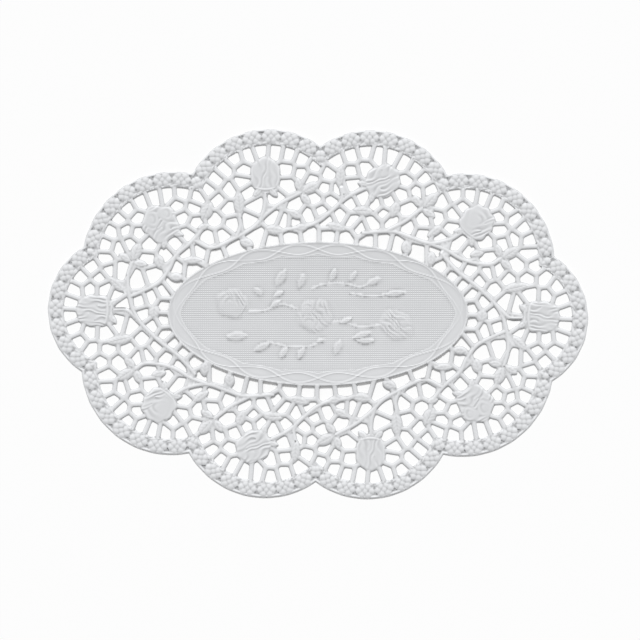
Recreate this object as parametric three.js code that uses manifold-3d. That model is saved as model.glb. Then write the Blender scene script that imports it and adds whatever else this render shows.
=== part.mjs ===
// Oval paper doily: one flat sheet of pressed and die-cut paper.
// Ten scallops carry a beaded band. Inside it a ring of thin bars, roses, stems and leaves surrounds
// a plain oval medallion with a low bouquet. Half of the design, turned by 180 degrees, is the rest.
// Millimetres, +Z up. The origin is the middle of the underside, which lies flat at z = 0.
import * as THREE from 'three';
import * as BufferGeometryUtils from 'three/addons/utils/BufferGeometryUtils.js';
import Module from 'manifold-3d';

const SHEET_THICKNESS = 1.0;
const BAND_WIDTH = 7.8;
const BAR_WIDTH = 2.4;
const STEM_WIDTH = 2.4;
const MEDALLION = { halfLength: 73.6, halfWidth: 35.3 };

// Scalloped edge, clockwise from the top. A scallop runs from its notch to the next one.
const SCALLOPS = [
  { notchX: 1.2, notchY: 82.4, bulge: 14.1 },
  { notchX: 63.5, notchY: 68.2, bulge: 14.8 },
  { notchX: 116.0, notchY: 28.2, bulge: 17.0 },
  { notchX: 115.0, notchY: -32.9, bulge: 13.6 },
  { notchX: 61.6, notchY: -68.9, bulge: 14.4 },
];
const ARC_SIDES = 12;

// One rose to a scallop. turn is the way it faces, in degrees from +X, and square is the power of its
// oval: 2 is an ellipse, and more is fuller at the corners.
const ROSES = [
  { x: 31.6, y: 65.0, turn: 32, halfLength: 9.2, halfWidth: 7.8, lobes: 7, ripple: 0.05, square: 2.3 },
  { x: 77.8, y: 44.6, turn: 50, halfLength: 9.0, halfWidth: 8.2, lobes: 9, ripple: 0.04, square: 2.3 },
  { x: 109.4, y: -1.6, turn: -2, halfLength: 9.3, halfWidth: 7.9, lobes: 9, ripple: 0.03, square: 2.6 },
  { x: 77.2, y: -44.2, turn: -55, halfLength: 9.6, halfWidth: 8.8, lobes: 5, ripple: 0.07, square: 2.2 },
  { x: 25.8, y: -68.0, turn: -90, halfLength: 9.2, halfWidth: 7.6, lobes: 6, ripple: 0.03, square: 2.1 },
];

// Two sepals behind each rose, set off to either side of its back.
const SEPALS = [
  { set: 156, turn: 136, length: 7.0, width: 3.6 },
  { set: 204, turn: 224, length: 7.0, width: 3.6 },
];

// Leaves and buds: middle, direction in degrees, length and width.
const LEAVES = [
  { x: 11.0, y: 67.4, turn: 84, length: 12.0, width: 5.2 },
  { x: 22.2, y: 50.4, turn: -8, length: 11.0, width: 5.6 },
  { x: 9.0, y: 42.6, turn: -16, length: 10.4, width: 5.0 },
  { x: -8.0, y: 42.4, turn: 8, length: 7.6, width: 4.4 },
  { x: 37.8, y: 51.2, turn: 66, length: 9.4, width: 5.2 },
  { x: 57.6, y: 40.6, turn: 34, length: 10.2, width: 4.6 },
  { x: 43.4, y: 32.6, turn: -88, length: 7.8, width: 5.2 },
  { x: 55.4, y: 27.0, turn: -98, length: 7.6, width: 5.2 },
  { x: 78.0, y: 29.4, turn: 12, length: 7.6, width: 4.4 },
  { x: 97.0, y: 12.8, turn: 10, length: 15.0, width: 5.6 },
  { x: 80.4, y: -1.0, turn: 82, length: 7.6, width: 6.0 },
  { x: 98.6, y: -14.4, turn: -44, length: 11.2, width: 5.0 },
  { x: 69.6, y: -18.0, turn: 176, length: 8.2, width: 4.6 },
  { x: 61.6, y: -26.2, turn: 182, length: 11.4, width: 4.2 },
  { x: 78.0, y: -25.6, turn: 104, length: 8.0, width: 5.4 },
  { x: 35.0, y: -34.8, turn: 158, length: 7.6, width: 5.0 },
  { x: 21.4, y: -41.2, turn: 172, length: 10.6, width: 5.4 },
  { x: 11.4, y: -48.8, turn: 152, length: 9.4, width: 4.4 },
  { x: 38.6, y: -54.0, turn: -86, length: 14.0, width: 5.8 },
  { x: 54.6, y: -50.4, turn: 64, length: 10.6, width: 6.6 },
  { x: 56.2, y: -42.6, turn: 20, length: 6.6, width: 3.8 },
];

// Sprigs of three leaflets at the ends of stems.
const SPRIGS = [
  { x: 51.0, y: 51.6, turn: 44 },
  { x: 89.6, y: 27.0, turn: 30 },
  { x: 91.2, y: -25.2, turn: -112 },
  { x: 8.6, y: -59.4, turn: 205 },
];
const SPRIG_LEAFLETS = [
  { turn: 0, length: 11.0, width: 5.8 },
  { turn: 78, length: 8.0, width: 4.2 },
  { turn: -78, length: 8.0, width: 4.2 },
];

// Stems, each a smooth curve through x, y places, from the medallion outwards.
const STEMS = [
  [[-14.8, 41.4], [-2.6, 43.9], [6.4, 50.2], [14.0, 57.0], [23.0, 61.6]],
  [[22.0, 39.6], [36.0, 40.4], [45.0, 37.6], [54.4, 34.6], [64.0, 36.2], [71.4, 40.6]],
  [[54.4, 34.6], [62.6, 31.4], [72.0, 26.2], [84.0, 24.2], [89.6, 27.0]],
  [[34.0, 40.8], [43.0, 45.6], [51.0, 51.6]],
  [[60.4, 29.6], [68.0, 21.2], [80.4, 11.2], [89.0, 1.8], [92.4, -8.4], [93.4, -17.0], [91.2, -25.2]],
  [[88.6, 2.4], [94.0, -1.8], [100.0, -2.0]],
  [[92.4, -8.4], [84.2, -12.0], [77.6, -15.8], [73.0, -22.0], [69.6, -28.6], [61.0, -36.2], [56.0, -43.0]],
  [[61.0, -36.2], [52.0, -32.4], [41.0, -37.0], [31.6, -42.4], [25.6, -48.6], [17.8, -54.4], [8.6, -59.4]],
  [[28.4, -45.4], [26.2, -52.0], [25.8, -59.0]],
  [[40.0, -37.6], [38.0, -43.0], [38.4, -48.6]],
  [[11.4, 61.8], [12.0, 57.4], [10.4, 53.6]],
];
const STEM_STEPS = 6;

// The low bouquet on the medallion, which has no holes.
const BOUQUET_ROSES = [
  { x: -1.5, y: -0.5, radius: 10.5 },
  { x: -41.5, y: 5.4, radius: 7.5 },
  { x: 40.4, y: -5.8, radius: 8.0 },
];
const BOUQUET_LEAVES = [
  { x: -18.4, y: 17.4, turn: 62, length: 9.0, width: 4.2 },
  { x: -8.0, y: 16.2, turn: 70, length: 8.4, width: 4.0 },
  { x: 7.6, y: 19.4, turn: 74, length: 9.0, width: 3.6 },
  { x: 27.2, y: 16.6, turn: 22, length: 10.0, width: 4.4 },
  { x: 38.4, y: 10.8, turn: 4, length: 11.0, width: 4.6 },
  { x: -40.2, y: -10.4, turn: 2, length: 12.0, width: 4.8 },
  { x: -27.4, y: -16.4, turn: 24, length: 10.0, width: 4.2 },
  { x: -17.2, y: -18.8, turn: 58, length: 8.4, width: 4.0 },
  { x: -7.6, y: -18.6, turn: 64, length: 8.4, width: 4.0 },
  { x: 22.6, y: -11.4, turn: -48, length: 10.0, width: 4.6 },
];

// The net. Its cells grow round seeds: rows of them follow every edge that the bars meet, and an even
// scatter fills the rest. hug is how far a row stands off its edge.
const NET = { seedGap: 5.0, hug: 3.1, clearance: 1.0, bandSpacing: 6.4, medallionSeeds: 50, roseSeeds: 10 };
const SCATTER = { count: 6000, width: 270, depth: 190, stepX: 0.7548776662, stepY: 0.569840291 };
const RELAX = { rounds: 4, step: 1.0 };
const HALF_FIELD = { x: 134, y: 93 };
const OUTLINE_STEP = 0.5;
const HOLE_LIMIT = 300;
const CORNER_TOLERANCE = 0.26;
const SHORTEST_SIDE = 0.9;

// Raised features: heights above the flat face, and how deep their roots go into the sheet.
const RELIEF = { rosette: 0.55, rose: 0.8, ridge: 0.45, bouquet: 0.5, root: 0.4 };
const ROSETTE = { pitch: 9.2, radius: 3.0, inset: 3.6, sides: 6 };
const ROSE_MARGIN = 1.0;
const ROSE_SIDES = 10;
const LEAF_SIDES = 6;
const RIDGE = { width: 2.2, sides: 44 };
const CONE = [{ reach: 0, rise: 1 }];
const DOME = [{ reach: 0.72, rise: 0.75 }, { reach: 0, rise: 1 }];

const PAPER = { color: 0xdcdee2, roughness: 0.85, metalness: 0 };

const radians = THREE.MathUtils.degToRad;

// A half of the design and the same turned by 180 degrees.
const opposite = ({ x, y, turn, ...rest }) => ({ ...rest, x: -x, y: -y, turn: turn + 180 });
const whole = (rows) => rows.concat(rows.map(opposite));

// The circle through two notches that bulges outwards between them.
function scallopDisc(from, to, bulge) {
  const chord = new THREE.Vector2().subVectors(to, from);
  const half = chord.length() / 2;
  const radius = (half * half + bulge * bulge) / (2 * bulge);
  const outwards = new THREE.Vector2(-chord.y, chord.x).normalize();
  const centre = new THREE.Vector2().addVectors(from, to).multiplyScalar(0.5);
  centre.addScaledVector(outwards, bulge - radius);
  const start = Math.atan2(from.y - centre.y, from.x - centre.x);
  const end = Math.atan2(to.y - centre.y, to.x - centre.x);
  return { centre, radius, start, sweep: THREE.MathUtils.euclideanModulo(start - end, 2 * Math.PI) };
}

function scallopDiscs() {
  const half = SCALLOPS.map((row) => new THREE.Vector2(row.notchX, row.notchY));
  const notches = half.concat(half.map((notch) => notch.clone().negate()));
  return notches.map((notch, index) => {
    const next = notches[(index + 1) % notches.length];
    return scallopDisc(notch, next, SCALLOPS[index % SCALLOPS.length].bulge);
  });
}

// A place on a scallop's arc, moved in from the edge. share runs from 0 to 1 along the arc.
function arcPoint(disc, share, inset) {
  const angle = disc.start - disc.sweep * share;
  const radius = disc.radius - inset;
  return new THREE.Vector2(radius * Math.cos(angle), radius * Math.sin(angle)).add(disc.centre);
}

// Evenly spaced places along a scallop's arc, about a spacing apart.
function arcRow(disc, spacing, inset) {
  const count = Math.round(((disc.radius - inset) * disc.sweep) / spacing);
  return Array.from({ length: count }, (_, i) => arcPoint(disc, (i + 0.5) / count, inset));
}

function sprigLeaves(sprig) {
  return SPRIG_LEAFLETS.map((leaflet) => {
    const angle = radians(sprig.turn + leaflet.turn);
    const reach = leaflet.length / 2;
    return {
      ...leaflet,
      x: sprig.x + reach * Math.cos(angle),
      y: sprig.y + reach * Math.sin(angle),
      turn: sprig.turn + leaflet.turn,
    };
  });
}

function roseSepals(rose) {
  return SEPALS.map(({ set, turn, length, width }) => {
    const angle = radians(rose.turn + set);
    const [x, y] = [rose.x + rose.halfLength * Math.cos(angle), rose.y + rose.halfLength * Math.sin(angle)];
    return { x, y, turn: rose.turn + turn, length, width };
  });
}

function stemLine(places) {
  const points = places.map(([x, y]) => new THREE.Vector3(x, y, 0));
  const curve = new THREE.CatmullRomCurve3(points, false, 'catmullrom', 0.5);
  return curve.getPoints(STEM_STEPS * (places.length - 1));
}

const discs = scallopDiscs();
const roses = whole(ROSES);
const leaves = whole([...LEAVES, ...SPRIGS.flatMap(sprigLeaves), ...ROSES.flatMap(roseSepals)]);
const halfStems = STEMS.map(stemLine);
const stems = halfStems.concat(halfStems.map((line) => line.map((point) => point.clone().negate())));

// How far a place lies outside the medallion.
function outsideMedallion(x, y) {
  const { halfLength, halfWidth } = MEDALLION;
  const level = Math.hypot(x / halfLength, y / halfWidth);
  const slope = Math.hypot(x / halfLength ** 2, y / halfWidth ** 2) / level;
  return (level - 1) / slope;
}

// How far a place outside the medallion lies inside the scalloped edge.
function insideEdge(x, y) {
  return Math.max(...discs.map((disc) => disc.radius - Math.hypot(x - disc.centre.x, y - disc.centre.y)));
}

// A place seen from an item: along the way it faces, and across.
function seenFrom(item, x, y) {
  const angle = radians(item.turn);
  const [dx, dy] = [x - item.x, y - item.y];
  return [dx * Math.cos(angle) + dy * Math.sin(angle), dy * Math.cos(angle) - dx * Math.sin(angle)];
}

// How far a place lies outside a leaf, which is the overlap of two circles.
function outsideLeaf(leaf, x, y) {
  const [along, across] = seenFrom(leaf, x, y);
  const [half, bulge] = [leaf.length / 2, leaf.width / 2];
  const radius = (half * half + bulge * bulge) / (2 * bulge);
  return Math.hypot(along, Math.abs(across) + radius - bulge) - radius;
}

// How far a place lies outside a rose, an oval with lobes.
function outsideRose(rose, x, y) {
  const [along, across] = seenFrom(rose, x, y);
  const [u, v] = [along / rose.halfLength, across / rose.halfWidth];
  const out = (Math.abs(u) ** rose.square + Math.abs(v) ** rose.square) ** (1 / rose.square);
  const edge = 1 + rose.ripple * Math.cos(rose.lobes * Math.atan2(v, u));
  return (out - edge) * Math.min(rose.halfLength, rose.halfWidth);
}

function outsideStem(line, x, y) {
  let nearest = Infinity;
  for (let i = 1; i < line.length; i += 1) {
    const [a, b] = [line[i - 1], line[i]];
    const [ux, uy] = [b.x - a.x, b.y - a.y];
    const t = THREE.MathUtils.clamp(((x - a.x) * ux + (y - a.y) * uy) / (ux * ux + uy * uy), 0, 1);
    nearest = Math.min(nearest, Math.hypot(x - a.x - t * ux, y - a.y - t * uy));
  }
  return nearest - STEM_WIDTH / 2;
}

// Distance to the nearest thing that the net must leave room for: positive on the net's own ground.
function clearSpace(x, y) {
  const medallion = outsideMedallion(x, y);
  if (medallion < 0) return medallion;
  const band = insideEdge(x, y) - BAND_WIDTH;
  if (band < 0) return band;
  const distances = roses.map((rose) => outsideRose(rose, x, y));
  distances.push(...leaves.map((leaf) => outsideLeaf(leaf, x, y)));
  distances.push(...stems.map((line) => outsideStem(line, x, y)));
  return Math.min(medallion, band, ...distances);
}

function* bandSeeds() {
  for (const disc of discs) yield* arcRow(disc, NET.bandSpacing, BAND_WIDTH + NET.hug);
}

function* medallionSeeds() {
  for (let i = 0; i < NET.medallionSeeds; i += 1) {
    const angle = (2 * Math.PI * i) / NET.medallionSeeds;
    const [reachX, reachY] = [MEDALLION.halfLength + NET.hug, MEDALLION.halfWidth + NET.hug];
    yield { x: reachX * Math.cos(angle), y: reachY * Math.sin(angle) };
  }
}

function* roseSeeds() {
  for (const rose of roses) {
    for (let i = 0; i < NET.roseSeeds; i += 1) {
      const angle = radians(rose.turn) + (2 * Math.PI * i) / NET.roseSeeds;
      const [reachX, reachY] = [rose.halfLength + NET.hug, rose.halfWidth + NET.hug];
      yield { x: rose.x + reachX * Math.cos(angle), y: rose.y + reachY * Math.sin(angle) };
    }
  }
}

function* stemSeeds() {
  const reach = STEM_WIDTH / 2 + NET.hug;
  for (const line of stems) {
    for (let i = 2; i < line.length; i += 4) {
      const along = new THREE.Vector3().subVectors(line[i], line[i - 2]).normalize();
      yield { x: line[i].x - reach * along.y, y: line[i].y + reach * along.x };
      yield { x: line[i].x + reach * along.y, y: line[i].y - reach * along.x };
    }
  }
}

function* scatteredSeeds() {
  for (let i = 1; i < SCATTER.count; i += 1) {
    const [shareX, shareY] = [(i * SCATTER.stepX) % 1, (i * SCATTER.stepY) % 1];
    yield { x: SCATTER.width * (shareX - 0.5), y: SCATTER.depth * (shareY - 0.5) };
  }
}

// The seeds of the upper half: each candidate that has room, first come first served.
function plantSeeds() {
  const kept = [];
  const apart = (a, b) => Math.hypot(a.x - b.x, a.y - b.y) >= NET.seedGap;
  const turned = ({ x, y }) => ({ x: -x, y: -y });
  for (const source of [bandSeeds, medallionSeeds, roseSeeds, stemSeeds, scatteredSeeds]) {
    for (const seed of source()) {
      const roomy = seed.y >= 0 && apart(seed, turned(seed))
        && kept.every((other) => apart(seed, other) && apart(seed, turned(other)));
      if (roomy && clearSpace(seed.x, seed.y) >= NET.clearance) kept.push({ x: seed.x, y: seed.y });
    }
  }
  return kept;
}

const bothHalves = (half) => half.concat(half.map(({ x, y }) => ({ x: -x, y: -y })));

function nearestSeed(seeds, x, y) {
  let best = 0;
  let least = Infinity;
  for (let i = 0; i < seeds.length; i += 1) {
    const distance = (seeds[i].x - x) ** 2 + (seeds[i].y - y) ** 2;
    if (distance < least) [best, least] = [i, distance];
  }
  return best;
}

function openGround() {
  const places = [];
  for (let y = -HALF_FIELD.y; y <= HALF_FIELD.y; y += RELAX.step) {
    for (let x = -HALF_FIELD.x; x <= HALF_FIELD.x; x += RELAX.step) {
      if (clearSpace(x, y) > 0) places.push({ x, y });
    }
  }
  return places;
}

// Move each seed to the middle of its own open ground, which evens out the cells.
function relaxedSeeds(half, ground) {
  const seeds = bothHalves(half);
  const sums = seeds.map(() => ({ x: 0, y: 0, count: 0 }));
  for (const { x, y } of ground) {
    const sum = sums[nearestSeed(seeds, x, y)];
    sum.x += x;
    sum.y += y;
    sum.count += 1;
  }
  return half.map((_, i) => ({ x: sums[i].x / sums[i].count, y: sums[i].y / sums[i].count }));
}

function netSeeds() {
  const ground = openGround();
  let half = plantSeeds();
  for (let round = 0; round < RELAX.rounds; round += 1) half = relaxedSeeds(half, ground);
  return bothHalves(half);
}

// How far a place lies inside its cell, past the half bar that borders the cell.
function insideCell(seeds, x, y) {
  const own = seeds[nearestSeed(seeds, x, y)];
  const ownDistance = (own.x - x) ** 2 + (own.y - y) ** 2;
  let inset = Infinity;
  for (const seed of seeds) {
    if (seed !== own) {
      const further = (seed.x - x) ** 2 + (seed.y - y) ** 2 - ownDistance;
      inset = Math.min(inset, further / (2 * Math.hypot(seed.x - own.x, seed.y - own.y)));
    }
  }
  return inset - BAR_WIDTH / 2;
}

// Squares of a grid by which of their corners lie in a hole, as bits, and the sides by which the
// edge of the hole enters and leaves them.
const CROSSINGS = {
  1: ['bottom', 'left'], 2: ['right', 'bottom'], 3: ['right', 'left'], 4: ['top', 'right'],
  5: ['bottom', 'left', 'top', 'right'], 6: ['top', 'bottom'], 7: ['top', 'left'], 8: ['left', 'top'],
  9: ['bottom', 'top'], 10: ['right', 'bottom', 'left', 'top'], 11: ['right', 'top'],
  12: ['left', 'right'], 13: ['bottom', 'right'], 14: ['left', 'bottom'],
};

function sampled(field, step) {
  const columns = Math.ceil((2 * HALF_FIELD.x) / step) + 1;
  const rows = Math.ceil((2 * HALF_FIELD.y) / step) + 1;
  const place = (i, j) => [i * step - HALF_FIELD.x, j * step - HALF_FIELD.y];
  const row = (j) => Array.from({ length: columns }, (_, i) => field(...place(i, j)));
  return { columns, rows, place, values: Array.from({ length: rows }, (_, j) => row(j)) };
}

// From each crossing of a grid line to the next one round the same hole.
function crossingLinks({ columns, rows, place, values }) {
  const points = new Map();
  const links = new Map();
  const crossing = (i, j, i2, j2) => {
    const key = `${i},${j},${i2},${j2}`;
    const t = values[j][i] / (values[j][i] - values[j2][i2]);
    points.set(key, new THREE.Vector2(...place(i + t * (i2 - i), j + t * (j2 - j))));
    return key;
  };
  for (let j = 0; j + 1 < rows; j += 1) {
    for (let i = 0; i + 1 < columns; i += 1) {
      const corners = [values[j][i], values[j][i + 1], values[j + 1][i + 1], values[j + 1][i]];
      const bits = corners.reduce((sum, value, index) => sum + (value > 0 ? 2 ** index : 0), 0);
      const sides = {
        bottom: [i, j, i + 1, j],
        top: [i, j + 1, i + 1, j + 1],
        left: [i, j, i, j + 1],
        right: [i + 1, j, i + 1, j + 1],
      };
      const names = CROSSINGS[bits] ?? [];
      for (let n = 0; n < names.length; n += 2) {
        links.set(crossing(...sides[names[n]]), crossing(...sides[names[n + 1]]));
      }
    }
  }
  return { points, links };
}

// Closed outlines of the places where the field is positive, counterclockwise.
function contours(field, step) {
  const { points, links } = crossingLinks(sampled(field, step));
  const loops = [];
  while (links.size) {
    const loop = [];
    let key = links.keys().next().value;
    while (links.has(key)) {
      loop.push(points.get(key));
      const next = links.get(key);
      links.delete(key);
      key = next;
    }
    loops.push(loop);
  }
  return loops;
}

// The fewest points of an open run that stay within the tolerance of it.
function thinned(run) {
  const [first, last] = [run[0], run[run.length - 1]];
  const along = new THREE.Vector2().subVectors(last, first).normalize();
  let farthest = 0;
  let distance = 0;
  run.forEach((point, index) => {
    const away = Math.abs(along.cross(new THREE.Vector2().subVectors(point, first)));
    if (away > distance) [farthest, distance] = [index, away];
  });
  if (distance < CORNER_TOLERANCE) return [first, last];
  return thinned(run.slice(0, farthest + 1)).slice(0, -1).concat(thinned(run.slice(farthest)));
}

// A shift too small to see, so that no corners of different holes lie on one straight line.
const nudge = (along) => 0.01 * Math.sin(37 * along);

// A hole's outline with only the corners that its shape needs.
function plainLoop(loop) {
  const farthestFrom = (from) => loop.reduce((best, point, index) => (
    point.distanceTo(from) > loop[best].distanceTo(from) ? index : best), 0);
  const start = farthestFrom(loop[0]);
  const turn = (farthestFrom(loop[start]) - start + loop.length) % loop.length;
  const closed = loop.slice(start).concat(loop.slice(0, start), [loop[start]]);
  const there = thinned(closed.slice(0, turn + 1)).slice(0, -1);
  const corners = there.concat(thinned(closed.slice(turn)).slice(0, -1));
  const apart = corners.filter((point, index) => (
    point.distanceTo(corners[(index + 1) % corners.length]) > SHORTEST_SIDE));
  return apart.map(({ x, y }) => new THREE.Vector2(x + nudge(y), y + nudge(x)));
}

// The largest holes of the net, up to the limit.
function netHoles() {
  const seeds = netSeeds();
  const field = (x, y) => {
    const clear = clearSpace(x, y);
    return clear < 0 ? clear : Math.min(clear, insideCell(seeds, x, y));
  };
  const area = (loop) => THREE.ShapeUtils.area(loop);
  const loops = contours(field, OUTLINE_STEP).sort((a, b) => area(b) - area(a));
  return loops.slice(0, HOLE_LIMIT).map(plainLoop);
}

const wasm = await Module();
wasm.setup();

// A closed mesh as a solid that can be joined to another.
function solidOf(geometry) {
  geometry.deleteAttribute('normal');
  geometry.deleteAttribute('uv');
  const merged = BufferGeometryUtils.mergeVertices(geometry, 1e-4);
  const index = Array.from(merged.index.array);
  const corners = (start) => index.slice(start, start + 3);
  const starts = index.map((_, i) => i).filter((i) => i % 3 === 0 && new Set(corners(i)).size === 3);
  const mesh = new wasm.Mesh({
    numProp: 3,
    vertProperties: new Float32Array(merged.attributes.position.array),
    triVerts: new Uint32Array(starts.flatMap(corners)),
  });
  return new wasm.Manifold(mesh);
}

function cutSheet() {
  const shares = Array.from({ length: ARC_SIDES }, (_, i) => i / ARC_SIDES);
  const shape = new THREE.Shape(discs.flatMap((disc) => shares.map((share) => arcPoint(disc, share, 0))));
  shape.holes = netHoles().map((loop) => new THREE.Path(loop));
  return solidOf(new THREE.ExtrudeGeometry(shape, { depth: SHEET_THICKNESS, bevelEnabled: false }));
}

// A profile of radius and height, spun about the upright axis, stretched, turned and put in place.
function spun(profile, sides, stretch, { x, y, turn }) {
  const geometry = new THREE.LatheGeometry(profile.map(([r, z]) => new THREE.Vector2(r, z)), sides);
  geometry.rotateX(Math.PI / 2);
  geometry.scale(stretch.halfLength, stretch.halfWidth, 1);
  geometry.rotateZ(radians(turn));
  geometry.translate(x, y, 0);
  return solidOf(geometry);
}

// A round boss on the sheet, with its steps from the rim to the top.
function boss(place, stretch, height, sides, steps) {
  const root = SHEET_THICKNESS - RELIEF.root;
  const upper = steps.map(({ reach, rise }) => [reach, SHEET_THICKNESS + rise * height]);
  return spun([[0, root], [1, root], ...upper], sides, stretch, place);
}

function bandRosettes() {
  const stretch = { halfLength: ROSETTE.radius, halfWidth: ROSETTE.radius };
  const places = discs.flatMap((disc) => arcRow(disc, ROSETTE.pitch, ROSETTE.inset));
  return places.map(({ x, y }) => boss({ x, y, turn: 0 }, stretch, RELIEF.rosette, ROSETTE.sides, CONE));
}

function ringRoses() {
  return roses.map((rose) => {
    const stretch = { halfLength: rose.halfLength - ROSE_MARGIN, halfWidth: rose.halfWidth - ROSE_MARGIN };
    return boss(rose, stretch, RELIEF.rose, ROSE_SIDES, DOME);
  });
}

function bouquet() {
  const heads = BOUQUET_ROSES.map(({ x, y, radius }) => {
    const stretch = { halfLength: radius, halfWidth: radius };
    return boss({ x, y, turn: 0 }, stretch, RELIEF.bouquet, ROSE_SIDES, DOME);
  });
  const blades = BOUQUET_LEAVES.map((leaf) => {
    const stretch = { halfLength: leaf.length / 2, halfWidth: leaf.width / 2 };
    return boss(leaf, stretch, RELIEF.bouquet, LEAF_SIDES, CONE);
  });
  return heads.concat(blades);
}

function medallionRidge() {
  const root = SHEET_THICKNESS - RELIEF.root;
  const inner = 1 - RIDGE.width / MEDALLION.halfWidth;
  const crest = [(1 + inner) / 2, SHEET_THICKNESS + RELIEF.ridge];
  const profile = [[inner, root], [1, root], crest, [inner, root]];
  return spun(profile, RIDGE.sides, MEDALLION, { x: 0, y: 0, turn: 0 });
}

function meshOf(name, solid, material) {
  const { numProp, vertProperties, triVerts } = solid.getMesh();
  const geometry = new THREE.BufferGeometry();
  geometry.setAttribute('position', new THREE.BufferAttribute(vertProperties, numProp));
  geometry.setIndex(new THREE.BufferAttribute(triVerts, 1));
  geometry.computeVertexNormals();
  const mesh = new THREE.Mesh(geometry, material);
  mesh.name = name;
  return mesh;
}

const raised = [medallionRidge(), ...bandRosettes(), ...ringRoses(), ...bouquet()];
const sheet = raised.reduce((sum, solid) => sum.add(solid), cutSheet());
const group = new THREE.Group();
group.add(meshOf('doily', sheet, new THREE.MeshStandardMaterial(PAPER)));

export default group;
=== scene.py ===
"""Scene of an oval paper doily, laid on a pale floor.

The doily is one sheet of pressed and die-cut paper. Its layout is worked out here in millimetres, in
the same frame as the solid, and becomes a mesh in metres. Places x and y, distances, rises and heights
are in millimetres where nothing else is said. Half of the design, turned by 180 degrees, is the rest.
"""

from __future__ import annotations

import logging
import math
from collections.abc import Callable, Sequence
from dataclasses import dataclass, replace
from enum import Enum, IntEnum

import bpy
import numpy as np
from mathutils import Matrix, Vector
from mathutils.geometry import delaunay_2d_cdt


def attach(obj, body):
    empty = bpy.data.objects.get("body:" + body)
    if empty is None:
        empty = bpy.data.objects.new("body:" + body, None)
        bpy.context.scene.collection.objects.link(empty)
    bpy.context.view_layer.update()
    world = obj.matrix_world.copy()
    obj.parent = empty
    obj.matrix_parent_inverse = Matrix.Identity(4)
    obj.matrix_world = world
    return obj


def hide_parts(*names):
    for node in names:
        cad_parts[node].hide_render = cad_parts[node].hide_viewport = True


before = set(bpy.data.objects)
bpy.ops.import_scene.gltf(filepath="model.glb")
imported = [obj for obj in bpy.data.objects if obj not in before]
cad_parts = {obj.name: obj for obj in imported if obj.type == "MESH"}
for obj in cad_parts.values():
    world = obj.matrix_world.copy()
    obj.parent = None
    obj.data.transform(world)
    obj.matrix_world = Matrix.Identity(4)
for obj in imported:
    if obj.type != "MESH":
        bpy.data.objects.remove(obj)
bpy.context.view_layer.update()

Array = np.ndarray
Colour = tuple[float, float, float]
log = logging.getLogger("doily")
MM = 0.001  # Metres to a millimetre.
TINY = 1e-9  # Keeps divisions and the ends of ranges safe.
PAINTED_SHADING = "painted_shading"  # Painted shading stored on the mesh: painted shade that darkens creases, dents and cut edges, and painted highlight that lightens crests.

# Squares by which of their corners lie in a hole, as bits, and the sides by which an edge enters and leaves.
CROSSINGS = {
    1: ("bottom", "left"),
    2: ("right", "bottom"),
    3: ("right", "left"),
    4: ("top", "right"),
    5: ("bottom", "left", "top", "right"),
    6: ("top", "bottom"),
    7: ("top", "left"),
    8: ("left", "top"),
    9: ("bottom", "top"),
    10: ("right", "bottom", "left", "top"),
    11: ("right", "top"),
    12: ("left", "right"),
    13: ("bottom", "right"),
    14: ("left", "bottom"),
}


def roll(share: Array) -> Array:
    """Gives the height share of a rounded shoulder, from 0 at its edge to 1 where its top is level."""
    inward = np.clip(share, 0.0, 1.0)
    return np.sqrt(1.0 - (1.0 - inward) ** 2)


def arch(share: Array, power: float = 2.0) -> Array:
    """Gives the height share of an arch, 1 at its crown, which a higher power makes flatter."""
    return 1.0 - (1.0 - np.clip(share, 0.0, 1.0)) ** power


def ridge(distance: Array, half_width: float) -> Array:
    """Gives the height share of a soft ridge at a distance from its crest line."""
    return np.exp(-((distance / half_width) ** 2))


def step_up(value: Array, low: float, high: float) -> Array:
    """Gives a smooth step from 0 at low to 1 at high."""
    share = np.clip((value - low) / (high - low), 0.0, 1.0)
    return share * share * (3.0 - 2.0 * share)


def folds(turns: Array) -> Array:
    """Gives folds, one to each whole number, that lean one way: a slow rise, then a quicker fall."""
    share = turns - np.floor(turns)
    return step_up(share, 0.0, 0.62) * (1.0 - step_up(share, 0.62, 1.0))


def waves(turns: Array) -> Array:
    """Gives round waves, 0 at each whole number and 1 between them."""
    return 0.5 - 0.5 * np.cos(2 * math.pi * turns)


def unit(rows: Array) -> Array:
    """Scales vectors to a length of 1."""
    return rows / np.linalg.norm(rows, axis=1)[:, None]


def tilts(height: Callable[[Array, Array], Array], x: Array, y: Array, reach: float, up: float) -> Array:
    """Gives the directions that a surface faces.

    Args:
        height: Gives its height at places.
        x, y: Places.
        reach: How far to each side the height is read.
        up: The directions' upward part.

    Returns:
        Rows of three, which aren't unit vectors yet.
    """
    slope_x = (height(x + reach, y) - height(x - reach, y)) / (2 * reach)
    slope_y = (height(x, y + reach) - height(x, y - reach)) / (2 * reach)
    return np.stack([-slope_x, -slope_y, np.full_like(x, up)], 1)


def add_object(name: str, data: bpy.types.ID) -> bpy.types.Object:
    """Adds an object to the scene.

    Args:
        name: The object's name.
        data: Its mesh, light or camera.

    Returns:
        The object.
    """
    made = bpy.data.objects.new(name, data)
    bpy.context.scene.collection.objects.link(made)
    return made


def add_material(name: str, roughness: float, specular: float) -> tuple[bpy.types.Material, bpy.types.Node]:
    """Makes a material with its surface shader.

    Args:
        name: The material's name.
        roughness: Roughness of the surface.
        specular: Strength of its gloss.

    Returns:
        The material and its shader.
    """
    material = bpy.data.materials.new(name)
    material.use_nodes = True
    shader = material.node_tree.nodes["Principled BSDF"]
    shader.inputs["Roughness"].default_value = roughness
    shader.inputs["Specular IOR Level"].default_value = specular
    return material, shader


def add_node(
    tree: bpy.types.NodeTree, kind: str, values: dict[str | int, float] | None = None, **settings: object
) -> bpy.types.Node:
    """Adds a shader node.

    Args:
        tree: The node tree that it goes into.
        kind: Its kind.
        values: Values of its inputs, by name or number.
        settings: Settings of the node itself.

    Returns:
        The node.
    """
    node = tree.nodes.new("ShaderNode" + kind)
    for name, setting in settings.items():
        setattr(node, name, setting)
    for key, value in (values or {}).items():
        node.inputs[key].default_value = value
    return node


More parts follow.
